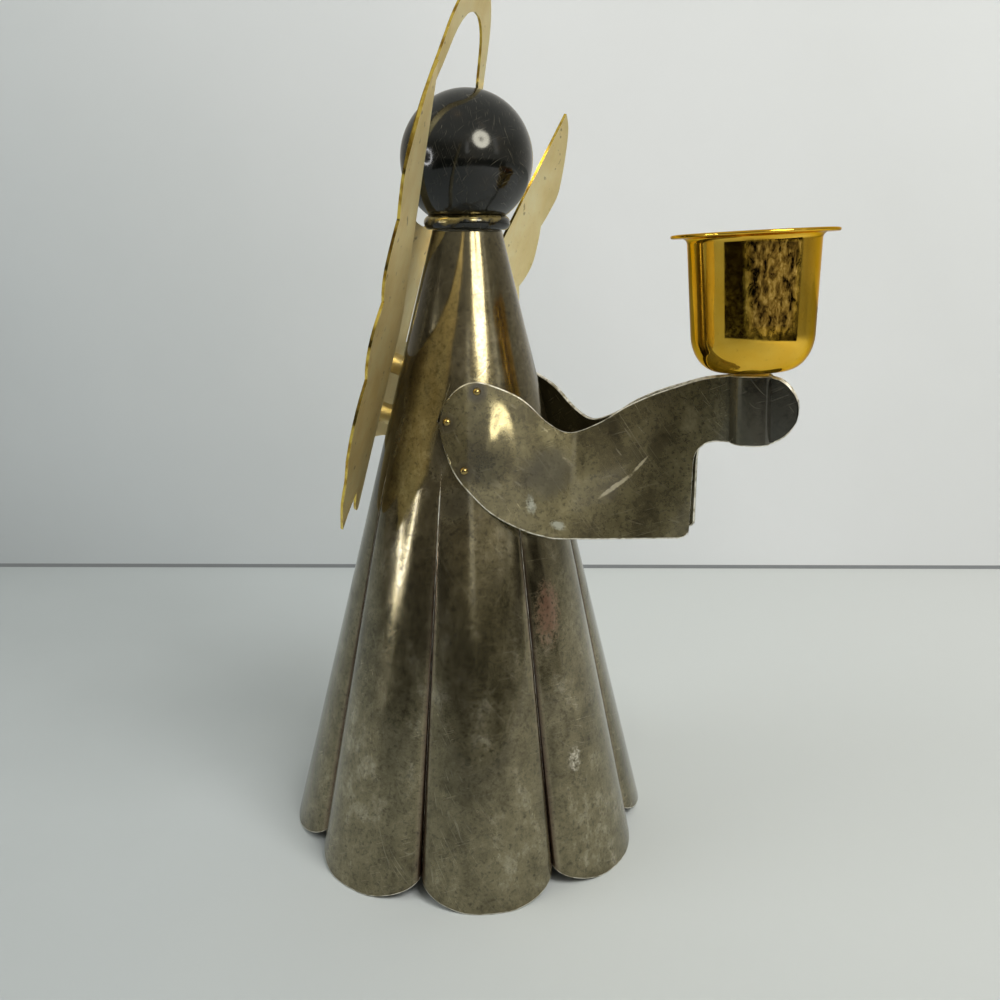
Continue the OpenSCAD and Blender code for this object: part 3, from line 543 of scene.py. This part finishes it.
# Wing spacers and wing screws
# Two brass tubes keep the sheet off the cone, and two slotted brass screws go through them to nuts inside.
wing_pitch = 12 * MM
screw_head_r, screw_head_h, slot_w, slot_d = 2.2 * MM, 1.2 * MM, 0.55 * MM, 0.6 * MM
shank_r, shank_l = 1.2 * MM, 8.6 * MM
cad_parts["wing_spacers"].data.materials.clear()
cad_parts["wing_spacers"].data.materials.append(satin_brass)
screw_bm = bmesh.new()
for k in (0, 1):
    before = set(screw_bm.verts)
    disc = bmesh.ops.create_circle(screw_bm, cap_ends=True, segments=48, radius=screw_head_r)["verts"]
    new_faces = list({f for v in disc for f in v.link_faces})
    for at in (-slot_w / 2, slot_w / 2):
        geom = list({g for f in new_faces for g in [f, *f.edges, *f.verts]})
        cut = bmesh.ops.bisect_plane(screw_bm, geom=geom, plane_co=(0, at, 0), plane_no=(0, 1, 0))["geom"]
        new_faces = [g for g in cut if isinstance(g, bmesh.types.BMFace)]
    for f in new_faces:
        middle = abs(f.calc_center_median().y) < slot_w / 2
        top = bmesh.ops.extrude_discrete_faces(screw_bm, faces=[f])["faces"]
        bmesh.ops.translate(screw_bm, vec=(0, 0, -screw_head_h + (slot_d if middle else 0)),
                            verts=list({v for t in top for v in t.verts}))
    bmesh.ops.create_cone(screw_bm, cap_ends=True, segments=32, radius1=shank_r, radius2=shank_r,
                          depth=shank_l, matrix=Matrix.Translation((0, 0, shank_l / 2)))
    fresh = [v for v in screw_bm.verts if v not in before]
    bmesh.ops.translate(screw_bm, vec=(0, k * wing_pitch, 0), verts=fresh)
bmesh.ops.remove_doubles(screw_bm, verts=screw_bm.verts, dist=0.001 * MM)
bmesh.ops.transform(screw_bm, matrix=on_sheet, verts=screw_bm.verts)
screws = keep_piece(screw_bm, "wing_screws_slotted", satin_brass, "wing_screws", smooth=False)
round_edges(screws, 0.12 * MM)

# Arms
# Each arm is cut from the same plate as the robe: a shoulder that hugs the cone, a wide sleeve, and a hand
# that wraps half round the stem. The sheared edges carry a painted highlight that makes them pale.
arm_wall = 0.8 * MM
arm_l, shoulder_x = 70 * MM, 0.8 * MM
hand_z, hand_r, sleeve_z = 103.9 * MM, 7 * MM, 76.4 * MM
sleeve_l, wrist_r, cuff_r = 50.2 * MM, 4.2 * MM, 2 * MM
elbow_x, elbow_soft, hand_gap, fit = 27.6 * MM, 2.2 * MM, 0.4 * MM, 0.05 * MM
stem_r, stem_x, stem_lean = 3.4 * MM, 61.5 * MM, math.radians(3.1)
arm_rise = hand_z + hand_r - sleeve_z
seam = math.radians(67)
top_shares = [(0, 0.675), (0.006, 0.745), (0.021, 0.817), (0.053, 0.89), (0.093, 0.919), (0.154, 0.887),
              (0.229, 0.812), (0.303, 0.678), (0.367, 0.623), (0.447, 0.687), (0.514, 0.78), (0.586, 0.855),
              (0.654, 0.91), (0.739, 0.968), (0.837, 0.996), (0.87, 1), (0.9, 1)]
under_shares = [(0, 0.675), (0.021, 0.545), (0.059, 0.386), (0.116, 0.252), (0.174, 0.148), (0.25, 0.064),
                (0.32, 0.017), (0.42, 0), (1, 0)]
top_line = [(shoulder_x + p.x * arm_l, sleeve_z + p.y * arm_rise) for p in smooth_run(top_shares, 10)]
under_line = [(shoulder_x + p.x * arm_l, sleeve_z + p.y * arm_rise) for p in smooth_run(under_shares, 10)]
cuff_x = shoulder_x + sleeve_l
tip_x = shoulder_x + arm_l - hand_r


def height_on(line, x):
    """Height of an outline at a distance along the arm."""
    for (x0, z0), (x1, z1) in zip(line, line[1:]):
        if x <= x1:
            return z0 + (z1 - z0) * (x - x0) / max(x1 - x0, 1e-9)
    return line[-1][1]


def top_of(x):
    if x > tip_x:
        return hand_z + math.sqrt(max(0, hand_r ** 2 - (x - tip_x) ** 2))
    return height_on(top_line, x)


def hand_bottom(x):
    if x > tip_x:
        return hand_z - math.sqrt(max(0, hand_r ** 2 - (x - tip_x) ** 2))
    if x < cuff_x + wrist_r:
        return hand_z - hand_r - wrist_r + math.sqrt(max(0, wrist_r ** 2 - (cuff_x + wrist_r - x) ** 2))
    return hand_z - hand_r


def sleeve_bottom(x):
    low = height_on(under_line, x)
    if x > cuff_x - cuff_r:
        low = sleeve_z + cuff_r - math.sqrt(max(0, cuff_r ** 2 - (x - cuff_x + cuff_r) ** 2))
    return low


def middle_of(x):
    if x >= cuff_x:
        return hand_bottom(x)
    start = sleeve_z + 0.675 * arm_rise
    along = (x - shoulder_x) / sleeve_l
    return start + (hand_bottom(cuff_x) - start) * along


def side_of(x, z):
    """Distance of the arm's inner face from the middle plane."""
    r = cone_r(z) + fit
    wrap = stem_r + fit
    axis = stem_x - (z - hand_z) * math.tan(stem_lean)
    if x < r * math.cos(seam):
        return math.sqrt(max(r * r - x * x, 0))
    bend_y = (r - elbow_x * math.cos(seam)) / math.sin(seam)
    flat_from = stem_x - stem_r - 1.2 * MM
    plane = (r - x * math.cos(seam)) / math.sin(seam)
    fore = bend_y + (hand_gap - bend_y) * (x - elbow_x) / (flat_from - elbow_x)
    fore = max(fore, hand_gap)
    if x < elbow_x - elbow_soft:
        side = plane
    elif x > elbow_x + elbow_soft:
        side = fore
    else:
        t = (x - elbow_x + elbow_soft) / (2 * elbow_soft)
        side = plane + (fore - plane) * t * t * (3 - 2 * t)
    if abs(x - axis) < wrap:
        side = max(side, math.sqrt(wrap ** 2 - (x - axis) ** 2))
    return side


def spaced(start, end, steps, gather):
    """Places from start to end that gather at the start, at the end, or at neither."""
    made = []
    for i in range(steps):
        t = i / steps
        if gather == "start":
            t = 1 - math.cos(math.pi / 2 * t)
        elif gather == "end":
            t = math.sin(math.pi / 2 * t)
        made.append(start + (end - start) * t)
    return made


# Stations along the arm, closer together at the shoulder, the cuff, the stem and the finger tips
shoulder_end, cuff_from = shoulder_x + 9 * MM, 49 * MM
sleeve_stations = (spaced(shoulder_x, shoulder_end, 26, "start") + spaced(shoulder_end, cuff_from, 44, "")
                   + spaced(cuff_from, cuff_x, 6, "end"))
wrap_out = stem_r + fit
wrap_from, wrap_to = stem_x - wrap_out - 0.1 * MM, stem_x + wrap_out + 0.1 * MM
hand_stations = (spaced(cuff_x, cuff_x + wrist_r, 8, "start") + spaced(cuff_x + wrist_r, wrap_from, 6, "")
                 + spaced(wrap_from, stem_x, 16, "start") + spaced(stem_x, wrap_to, 16, "end")
                 + spaced(wrap_to, shoulder_x + arm_l, 16, "end") + [shoulder_x + arm_l])


def arm_piece(name, side, node):
    """One arm: a grid for its upper part and the hand, and one for the sleeve below, joined and bent."""
    bm = bmesh.new()
    for xs, rows, low_of, high_of in ((sleeve_stations + hand_stations, 22, middle_of, top_of),
                                      (sleeve_stations + [cuff_x], 18, sleeve_bottom, middle_of)):
        grid = bmesh.ops.create_grid(bm, x_segments=len(xs) - 1, y_segments=rows, size=0.5)["verts"]
        for v in grid:
            x = xs[round((v.co.x + 0.5) * (len(xs) - 1))]
            low, high = low_of(x), max(high_of(x), low_of(x))
            z = low + (high - low) * (v.co.y + 0.5)
            near = abs(x - stem_x) < wrap_out + 1.5 * MM
            shift = -(z - hand_z) * math.tan(stem_lean) if near else 0
            v.co = Vector((axis_x + x + shift, side * side_of(x + shift, z), z))
    bmesh.ops.remove_doubles(bm, verts=bm.verts, dist=0.004 * MM)
    bmesh.ops.recalc_face_normals(bm, faces=bm.faces)
    outward = sum((f.normal.y * side * f.calc_area() for f in bm.faces), 0.0)
    if outward < 0:
        bmesh.ops.reverse_faces(bm, faces=bm.faces)
    piece = keep_piece(bm, name, arm_plate, node, turned=True)
    piece.data.materials.append(edge_with_highlight)
    shell = piece.modifiers.new("sheet", "SOLIDIFY")
    shell.thickness, shell.offset, shell.material_offset_rim = arm_wall, 1, 1
    round_edges(piece, 0.26 * MM, angle=60, material=1, held=False)


# Painted shade round the rivets, which sit at these turns from +X and shares of the arm's rise
rivet_places = [(60.8, 0.861), (81.4, 0.684), (69.7, 0.403)]
rivet_shade = []
for side in (-1, 1):
    for turn, rise in rivet_places:
        z = sleeve_z + rise * arm_rise
        r = cone_r(z) + arm_wall
        at = (axis_x + r * math.cos(math.radians(turn)), side * r * math.sin(math.radians(turn)), z)
        rivet_shade.append((at, (3 * MM, 3 * MM, 3 * MM), 0, "1f180e", 0.1))
# The arms' marks: a dark one at the elbow, two chalky ones low on the sleeve, two pale scratches, and
# the painted shade round the rivets
arm_plate = tarnished_plate(
    "tarnished silver plate, arms", ("453f2d", "675f45", "7b7354", "a29878"),
    90 * MM, 190 * MM, axis_x + 50 * MM, axis_x + 66 * MM, 0.15, 0.32,
    [((axis_x + 23 * MM, -12.5 * MM, 90 * MM), (9 * MM, 14 * MM, 11 * MM), 0.3, "332e1e", 0.22),
     ((axis_x + 26 * MM, -14.8 * MM, 79.5 * MM), (3.4 * MM, 9 * MM, 2 * MM), 0.5, "a7aa9d", 0.27),
     ((axis_x + 20.5 * MM, -15.4 * MM, 83.5 * MM), (2 * MM, 9 * MM, 4 * MM), -0.3, "a7aa9d", 0.27),
     ((axis_x + 36.5 * MM, -9 * MM, 87.5 * MM), (5.5 * MM, 12 * MM, 0.7 * MM), -0.68, "b5ac90", 0.12),
     ((axis_x + 41 * MM, -7 * MM, 92 * MM), (3 * MM, 12 * MM, 0.45 * MM), -0.9, "b5ac90", 0.12),
     *rivet_shade],
    ((axis_x + 11 * MM, -15.8 * MM, 96 * MM), (6 * MM, 7 * MM, 11 * MM), 1.3 * MM))
arm_piece("right_arm_sheet", -1, "right_arm")
arm_piece("left_arm_sheet", 1, "left_arm")

# Shoulder rivets
# Three round-headed rivets of the same metal hold each shoulder to the cone. Each is set in a slight dimple
# that the hammer left, and its crown is rubbed bright.
rivet_head_r, rivet_head_h, rivet_skirt = 0.85 * MM, 0.5 * MM, 0.2 * MM
rivet_cap_r = (rivet_head_r ** 2 + rivet_head_h ** 2) / (2 * rivet_head_h)
cone_slope = math.atan((hem_r - neck_r) / robe_h)
rivet_metal = tarnished_plate("tarnished silver plate, rivets", ("6e5c34", "8f7a48", "b09a60", "d6c48c"),
                              200 * MM, 300 * MM, 1, 2, 0.18, 0.0, [])
for side, name in ((-1, "right"), (1, "left")):
    rivet_bm = bmesh.new()
    for turn, rise in rivet_places:
        before = set(rivet_bm.verts)
        angle = side * math.radians(turn)
        z = sleeve_z + rise * arm_rise
        ball = bmesh.ops.create_uvsphere(rivet_bm, u_segments=32, v_segments=32, radius=rivet_cap_r)["verts"]
        geom = list({g for v in ball for g in [v, *v.link_edges, *v.link_faces]})
        cut = bmesh.ops.bisect_plane(rivet_bm, geom=geom, plane_co=(0, 0, rivet_cap_r - rivet_head_h),
                                     plane_no=(0, 0, -1), clear_outer=True)["geom_cut"]
        rim = edges_of(cut)
        skirt = bmesh.ops.extrude_edge_only(rivet_bm, edges=rim)["geom"]
        bmesh.ops.translate(rivet_bm, vec=(0, 0, -rivet_skirt), verts=verts_of(skirt))
        bmesh.ops.edgeloop_fill(rivet_bm, edges=[e for e in edges_of(skirt) if len(e.link_faces) == 1])
        fresh = [v for v in rivet_bm.verts if v not in before]
        seat = Vector((axis_x + cone_r(z) * math.cos(angle), cone_r(z) * math.sin(angle), z))
        turned = Matrix.Rotation(angle, 4, "Z") @ Matrix.Rotation(math.pi / 2 - cone_slope, 4, "Y")
        lift = Matrix.Translation((0, 0, arm_wall + 0.15 * MM + rivet_head_h - rivet_cap_r))
        bmesh.ops.transform(rivet_bm, matrix=Matrix.Translation(seat) @ turned @ lift, verts=fresh)
    keep_piece(rivet_bm, name + "_rivet_domes", rivet_metal, name + "_shoulder_rivets")

# Stem and candle cup
# The stem is a short brass rod between the hands. The cup was drawn from brass sheet and its lip turned
# outwards; polish and lacquer keep it like a mirror, and one side is worn matt and mottled.
cup_h, cup_top_r, cup_low_r = 26.5 * MM, 12.6 * MM, 11.9 * MM
cup_round_h, cup_foot_r, cup_floor = 7.5 * MM, 6.4 * MM, 0.9 * MM
bore_r, flange_r, flange_t, lip_r = 11.1 * MM, 15.8 * MM, 0.7 * MM, 1.1 * MM
stem_l, stem_up = 14.2 * MM, 7.7 * MM
on_stem = Matrix.Translation((axis_x + stem_x, 0, hand_z)) @ Matrix.Rotation(-stem_lean, 4, "Y")

# Polished brass: a yellow mirror that shows the dark and bright parts of the room as upright bands, with a
# few brown spots in the lacquer and one matt, mottled place
mirror_brass, tree, shader = start_material("polished brass")
place = add(tree, "TexCoord").outputs["Object"]
clouds = add(tree, "TexNoise", {"Vector": place, "Scale": 1 / (9 * MM), "Detail": 4})
tone = add(tree, "ValToRGB", {"Fac": clouds}, stops=[(0.3, srgb("e2ae32")), (0.7, srgb("eec450"))])
blotches = add(tree, "TexNoise", {"Vector": place, "Scale": 1 / (1.1 * MM), "Detail": 5, "Roughness": 0.75})
spots = add(tree, "MapRange", {"Value": blotches, "From Min": 0.6, "From Max": 0.72, "To Max": 0.5})
spotted = add(tree, "Mix", {"Factor": spots, "A": tone, "B": srgb("8a6a2c")}, data_type="RGBA")
# The worn place: on the near side, from below the lip to above the round of the foot
worn_way = Vector((math.cos(math.radians(-66)), math.sin(math.radians(-66)), 0))
cup_axis = on_stem @ Vector((0, 0, stem_up + cup_h / 2))
facing = add(tree, "VectorMath", {0: place, 1: worn_way}, operation="DOT_PRODUCT")
middle = cup_axis.dot(worn_way)
turned_to = add(tree, "MapRange", {"Value": facing.outputs["Value"], "From Min": middle + 10.9 * MM,
                                   "From Max": middle + 11.6 * MM})
heights = add(tree, "SeparateXYZ", {"Vector": place})
above = add(tree, "MapRange", {"Value": heights.outputs["Z"], "From Min": cup_axis.z - 6.2 * MM,
                               "From Max": cup_axis.z - 3.5 * MM})
below = add(tree, "MapRange", {"Value": heights.outputs["Z"], "From Min": cup_axis.z + 12 * MM,
                               "From Max": cup_axis.z + 11.3 * MM})
between = add(tree, "Math", {0: above, 1: below}, operation="MULTIPLY")
worn_at = add(tree, "Math", {0: turned_to, 1: between}, operation="MULTIPLY")
upright = add(tree, "Mapping", {"Vector": place, "Scale": (1.3 * MM, 1.3 * MM, 2.6 * MM)},
              vector_type="TEXTURE")
mottles = add(tree, "TexNoise", {"Vector": upright, "Scale": 1.0, "Detail": 8, "Roughness": 0.72,
                                 "Distortion": 0.4})
ragged = add(tree, "MapRange", {"Value": mottles, "From Min": 0.32, "From Max": 0.72})
dulled = add(tree, "Math", {0: worn_at, 1: ragged}, operation="MULTIPLY")
pale_and_dark = add(tree, "ValToRGB", {"Fac": ragged}, stops=[
    (0.2, srgb("33260f")), (0.85, srgb("c8ae6e")), (0.45, srgb("705624")), (0.62, srgb("957a3a"))])
matt = add(tree, "Mix", {"Factor": worn_at, "A": spotted, "B": pale_and_dark}, data_type="RGBA")
tree.links.new(matt.outputs["Result"], shader.inputs["Base Color"])
polish = add(tree, "MapRange", {"Value": blotches, "From Min": 0.4, "From Max": 0.75, "To Min": 0.05,
                                "To Max": 0.16})
matter = add(tree, "Math", {0: dulled, 1: 0.9, 2: polish}, operation="MULTIPLY_ADD")
tree.links.new(matter.outputs[0], shader.inputs["Roughness"])
shader.inputs["Metallic"].default_value = 1.0
shader.inputs["Specular Tint"].default_value = srgb("f5dba4")
relief = add(tree, "Bump", {"Height": clouds, "Strength": 0.1, "Distance": 0.1 * MM})
tree.links.new(relief.outputs[0], shader.inputs["Normal"])


def bow(mid_r, mid_z, wide, high, start, end, steps):
    """Points on a part of an ellipse, from one angle to another, of a profile of (radius, height)."""
    angles = [math.radians(start + (end - start) * i / steps) for i in range(steps + 1)]
    return [(mid_r + wide * math.cos(a), mid_z + high * math.sin(a)) for a in angles]


# The cup's section, from the middle of its foot up the outside, over the flange and down the inside
bore_edge, inner_foot_r = 0.5 * MM, cup_foot_r - cup_floor
edge_r = flange_t / 2
cup_profile = [
    (0, 0), *bow(cup_foot_r, cup_round_h, cup_low_r - cup_foot_r, cup_round_h, -90, 0, 14),
    *bow(cup_top_r + lip_r, cup_h - flange_t - lip_r, lip_r, lip_r, 180, 90, 6),
    *bow(flange_r - edge_r, cup_h - edge_r, edge_r, edge_r, -90, 90, 8),
    *bow(bore_r + bore_edge, cup_h - bore_edge, bore_edge, bore_edge, 90, 180, 4),
    *bow(inner_foot_r, cup_round_h, bore_r - inner_foot_r, cup_round_h - cup_floor, 0, -90, 14),
    (0, cup_floor)]
cup_bm = spun(cup_profile, steps=160)
bmesh.ops.transform(cup_bm, matrix=on_stem @ Matrix.Translation((0, 0, stem_up)), verts=cup_bm.verts)
keep_piece(cup_bm, "candle_cup_drawn", mirror_brass, "candle_cup")

stem_foot, stem_edge = stem_up - stem_l, 0.3 * MM
stem_bm = spun([(0, stem_foot), (stem_r - stem_edge, stem_foot), (stem_r, stem_foot + stem_edge),
                (stem_r, stem_up), (0, stem_up)], steps=64)
bmesh.ops.transform(stem_bm, matrix=on_stem, verts=stem_bm.verts)
keep_piece(stem_bm, "stem_rod", satin_brass, "stem_tube")

# Table and wall
# A pale painted table top against a pale wall, with a narrow strip of painted shadow where they meet. Seen
# from behind, the wall lets the view through.
view_turn = math.radians(21.01)
view_drop = math.radians(15.6)
view_roll = math.radians(0.12)
camera_place = Vector((axis_x + 80.4 * MM, -189.4 * MM, 136.0 * MM))
level = Vector((-math.sin(view_turn), math.cos(view_turn), 0))
beside = Vector((math.cos(view_turn), math.sin(view_turn), 0))
wall_distance = 378 * MM
wall_foot = camera_place + level * wall_distance
wall_foot.z = 0


def keep_stage(bm, name, material):
    """Makes a finished bmesh a thing of the stage, which isn't part of the object."""
    mesh = bpy.data.meshes.new(name)
    bm.to_mesh(mesh)
    bm.free()
    mesh.materials.append(material)
    thing = bpy.data.objects.new(name, mesh)
    bpy.context.scene.collection.objects.link(thing)
    return thing


def stage_plane(name, material, centre, side_a, side_b):
    """A flat sheet of the stage, with its centre and its two half sides."""
    bm = bmesh.new()
    bmesh.ops.create_grid(bm, x_segments=1, y_segments=1, size=1)
    turned = Matrix((side_a, side_b, side_a.cross(side_b).normalized())).transposed().to_4x4()
    bmesh.ops.transform(bm, matrix=Matrix.Translation(centre) @ turned, verts=bm.verts)
    return keep_stage(bm, name, material)


def shaded_paint_across(tree, shader, stops, rise):
    """Paint with painted shade that darkens it towards the left, as the view has it, and a faint cloudiness.
    """
    place = add(tree, "TexCoord").outputs["Object"]
    along = add(tree, "VectorMath", {0: place, 1: beside + Vector((0, 0, rise))}, operation="DOT_PRODUCT")
    start = wall_foot.dot(beside)
    share = add(tree, "MapRange", {"Value": along.outputs["Value"], "From Min": start - 0.25,
                                   "From Max": start + 0.25})
    cloud = add(tree, "TexNoise", {"Vector": place, "Scale": 1 / (70 * MM), "Detail": 5})
    moved = add(tree, "Math", {0: cloud, 1: 0.16, 2: share}, operation="MULTIPLY_ADD")
    less = add(tree, "Math", {0: moved, 1: 0.08}, operation="SUBTRACT")
    tone = add(tree, "ValToRGB", {"Fac": less}, stops=stops)
    tree.links.new(tone.outputs["Color"], shader.inputs["Base Color"])


def clear_from_behind(tree, shader):
    """Lets a view from behind the wall see through it."""
    side_seen = add(tree, "NewGeometry")
    clear = add(tree, "BsdfTransparent")
    show = add(tree, "MixShader", {0: side_seen.outputs["Backfacing"], 1: shader, 2: clear})
    tree.links.new(show.outputs[0], tree.nodes["Material Output"].inputs["Surface"])


# Paint on both: matt and bluish grey, with the object's shadow and painted shade that darkens it towards
# the left, and on the wall towards the bottom. The metal mirrors the world's room in the wall's place,
# because a real room isn't pale all round.
table_paint, tree, shader = start_material("pale painted table")
shaded_paint_across(tree, shader, [(0.0, srgb("a5aaaa")), (1.0, srgb("c2c4c2")), (0.35, srgb("b7bcbc")),
                            (0.55, srgb("c2c6c4"))], 0)
shader.inputs["Roughness"].default_value = 0.5
shader.inputs["Specular IOR Level"].default_value = 0.0
stage_plane("table", table_paint, Vector((0, 0, 0)), Vector((2, 0, 0)), Vector((0, 2, 0)))

wall_paint, tree, shader = start_material("pale painted wall")
shaded_paint_across(tree, shader, [(0.0, srgb("b4b9bb")), (1.0, srgb("d6d8d8")), (0.25, srgb("c5cacc")),
                            (0.42, srgb("ced2d3")), (0.75, srgb("dfe1e2"))], 0.6)
shader.inputs["Roughness"].default_value = 0.8
clear_from_behind(tree, shader)
wall = stage_plane("wall", wall_paint, wall_foot + Vector((0, 0, 1.0)), beside * 2, Vector((0, 0, 1)))
wall.visible_glossy = False

# Painted shadow: a grey strip along the wall's foot
shadow_strip_paint, tree, shader = start_material("painted shadow strip")
shader.inputs["Base Color"].default_value = srgb("85888a")
shader.inputs["Roughness"].default_value = 0.9
clear_from_behind(tree, shader)
shadow_strip_middle = wall_foot - level * 0.3 * MM + Vector((0, 0, 0.7 * MM))
stage_plane("gap", shadow_strip_paint, shadow_strip_middle, beside * 2, Vector((0, 0, 0.9 * MM)))

# Lights
# A large soft lamp from the right, a weak one from the left, and two ring lamps that give the round
# highlights on the head. A dark cloth behind the camera shows in the polished metal only.
head_place = Vector((axis_x, 0, head_z))


def soft_lamp(name, place, aim, size, power, colour):
    """A round lamp of a size in metres and a power in watts, turned towards a point."""
    data = bpy.data.lights.new(name, "AREA")
    data.shape, data.size, data.energy, data.color = "DISK", size, power, colour
    lamp = bpy.data.objects.new(name, data)
    lamp.location = place
    lamp.rotation_euler = (aim - place).to_track_quat("-Z", "Y").to_euler()
    bpy.context.scene.collection.objects.link(lamp)
    return lamp


def ring_lamp(name, direction, distance, outer, inner, strength, colour):
    """A glowing ring that faces the head and shows in its polish and on the metal alone."""
    bm = bmesh.new()
    bmesh.ops.create_circle(bm, cap_ends=False, segments=48, radius=outer)
    hole = verts_of(bmesh.ops.extrude_edge_only(bm, edges=bm.edges[:])["geom"])
    bmesh.ops.scale(bm, vec=(inner / outer, inner / outer, 1), verts=hole)
    place = head_place + direction.normalized() * distance
    turn = (head_place - place).to_track_quat("Z", "Y").to_matrix().to_4x4()
    bmesh.ops.transform(bm, matrix=Matrix.Translation(place) @ turn, verts=bm.verts)
    material, tree, shader = start_material(name)
    glow = add(tree, "Emission", {"Color": colour, "Strength": strength})
    tree.links.new(glow.outputs[0], tree.nodes["Material Output"].inputs["Surface"])
    lamp = keep_stage(bm, name, material)
    lamp.visible_camera = lamp.visible_diffuse = False


window = soft_lamp("right_window", Vector((axis_x + 0.55, -0.25, 0.75)), Vector((0.1, 0.05, 0.1)),
                   0.55, 7.6, (1, 0.99, 0.97))
bounce = soft_lamp("left_bounce", Vector((axis_x - 0.6, -0.35, 0.5)), Vector((0, 0, 0.1)),
                   0.5, 1.6, (0.95, 0.98, 1))
bounce.visible_glossy = window.visible_glossy = False
ring_lamp("ring_lamp_right", Vector((0.675, -0.576, 0.461)), 0.5, 0.12, 0.03, 14, srgb("fffbe8"))
ring_lamp("ring_lamp_left", Vector((-0.733, -0.679, 0.031)), 0.5, 0.09, 0.075, 18, srgb("ffffff"))

cloth, tree, shader = start_material("dark cloth")
shader.inputs["Base Color"].default_value = srgb("14110e")
shader.inputs["Roughness"].default_value = 1.0
shader.inputs["Specular IOR Level"].default_value = 0.0
cloth_bm = bmesh.new()
# It hangs in a bow round the cup, from the left of the camera to its right
cloth_away, cloth_h = 0.57, 0.126
rail = []
for a in range(-134, 6, 3):
    out = Vector((math.cos(math.radians(a)), math.sin(math.radians(a)), 0)) * cloth_away
    rail.append(cloth_bm.verts.new(Vector((axis_x + stem_x, 0, 0)) + out))
hem = [cloth_bm.edges.new((a, b)) for a, b in zip(rail, rail[1:])]
hung = bmesh.ops.extrude_edge_only(cloth_bm, edges=hem)["geom"]
bmesh.ops.translate(cloth_bm, vec=(0, 0, cloth_h), verts=verts_of(hung))
curtain = keep_stage(cloth_bm, "dark_cloth", cloth)
curtain.visible_camera = curtain.visible_diffuse = curtain.visible_shadow = False

world = bpy.data.worlds.new("studio")
bpy.context.scene.world = world
world.use_nodes = True
tree = world.node_tree
direction = add(tree, "TexCoord").outputs["Generated"]
rays = add(tree, "LightPath")
split = add(tree, "SeparateXYZ", {"Vector": direction})
ceiling = add(tree, "MapRange", {"Value": split.outputs["Z"], "From Min": 0.25, "From Max": 0.6,
                                 "To Min": 0.0, "To Max": 1.0}, interpolation_type="SMOOTHSTEP")
room = add(tree, "Mix", {"Factor": ceiling, "A": srgb("6a665c"), "B": srgb("b5b5ae")}, data_type="RGBA")
# What polished metal shows of the room: darker to the left, with windows as upright bright strips
bearing = add(tree, "Math", {0: split.outputs["Y"], 1: split.outputs["X"]}, operation="ARCTAN2")
turned = add(tree, "MapRange", {"Value": bearing, "From Min": -math.pi, "From Max": math.pi})
walls = add(tree, "ValToRGB", {"Fac": turned}, stops=[
    (0.0, srgb("757062")), (1.0, srgb("757062")), (0.07, srgb("38342d")), (0.28, srgb("7a7568")),
    (0.34, srgb("a39f92")), (0.42, srgb("aeaba0")), (0.55, srgb("8c8a80")), (0.75, srgb("d2d0c8"))])
overhead = add(tree, "Mix", {"Factor": ceiling, "A": walls, "B": srgb("b5b5ae")}, data_type="RGBA")
shown = overhead
for centre, half, low, high, glow in ((-66, 3, 0.1, 0.4, 1.2), (-15, 4, 0.1, 0.5, 1.0)):
    in_turn = add(tree, "Math", {0: bearing, 1: math.radians(centre), 2: math.radians(half)},
                  operation="COMPARE")
    in_rise = add(tree, "Math", {0: split.outputs["Z"], 1: (low + high) / 2, 2: (high - low) / 2},
                  operation="COMPARE")
    in_strip = add(tree, "Math", {0: in_turn, 1: in_rise}, operation="MULTIPLY")
    shown = add(tree, "Mix", {"Factor": in_strip, "A": shown, "B": (glow, glow, glow * 0.94, 1)},
                data_type="RGBA")
mirrored = add(tree, "Mix", {"Factor": rays.outputs["Is Glossy Ray"], "A": room, "B": shown},
               data_type="RGBA")
pale = add(tree, "Mix", {"Factor": rays.outputs["Is Camera Ray"], "A": mirrored, "B": srgb("c9ccca")},
           data_type="RGBA")
tree.links.new(pale.outputs["Result"], tree.nodes["Background"].inputs["Color"])
tree.nodes["Background"].inputs["Strength"].default_value = 1.0

# Camera
# A phone held about 21 cm away, a little above the cup and turned towards the angel's right side.
camera_data = bpy.data.cameras.new("camera")
camera_data.sensor_width = 36
camera_data.lens = 36 * 0.924
camera_data.clip_start = 0.01
camera = bpy.data.objects.new("camera", camera_data)
camera.location = camera_place
look = level * math.cos(view_drop) - Vector((0, 0, math.sin(view_drop)))
camera.rotation_mode = "QUATERNION"
rolled = Matrix.Rotation(view_roll, 4, "Z").to_quaternion()
camera.rotation_quaternion = look.to_track_quat("-Z", "Y") @ rolled
bpy.context.scene.collection.objects.link(camera)
bpy.context.scene.camera = camera
bpy.context.scene.view_settings.view_transform = "Standard"
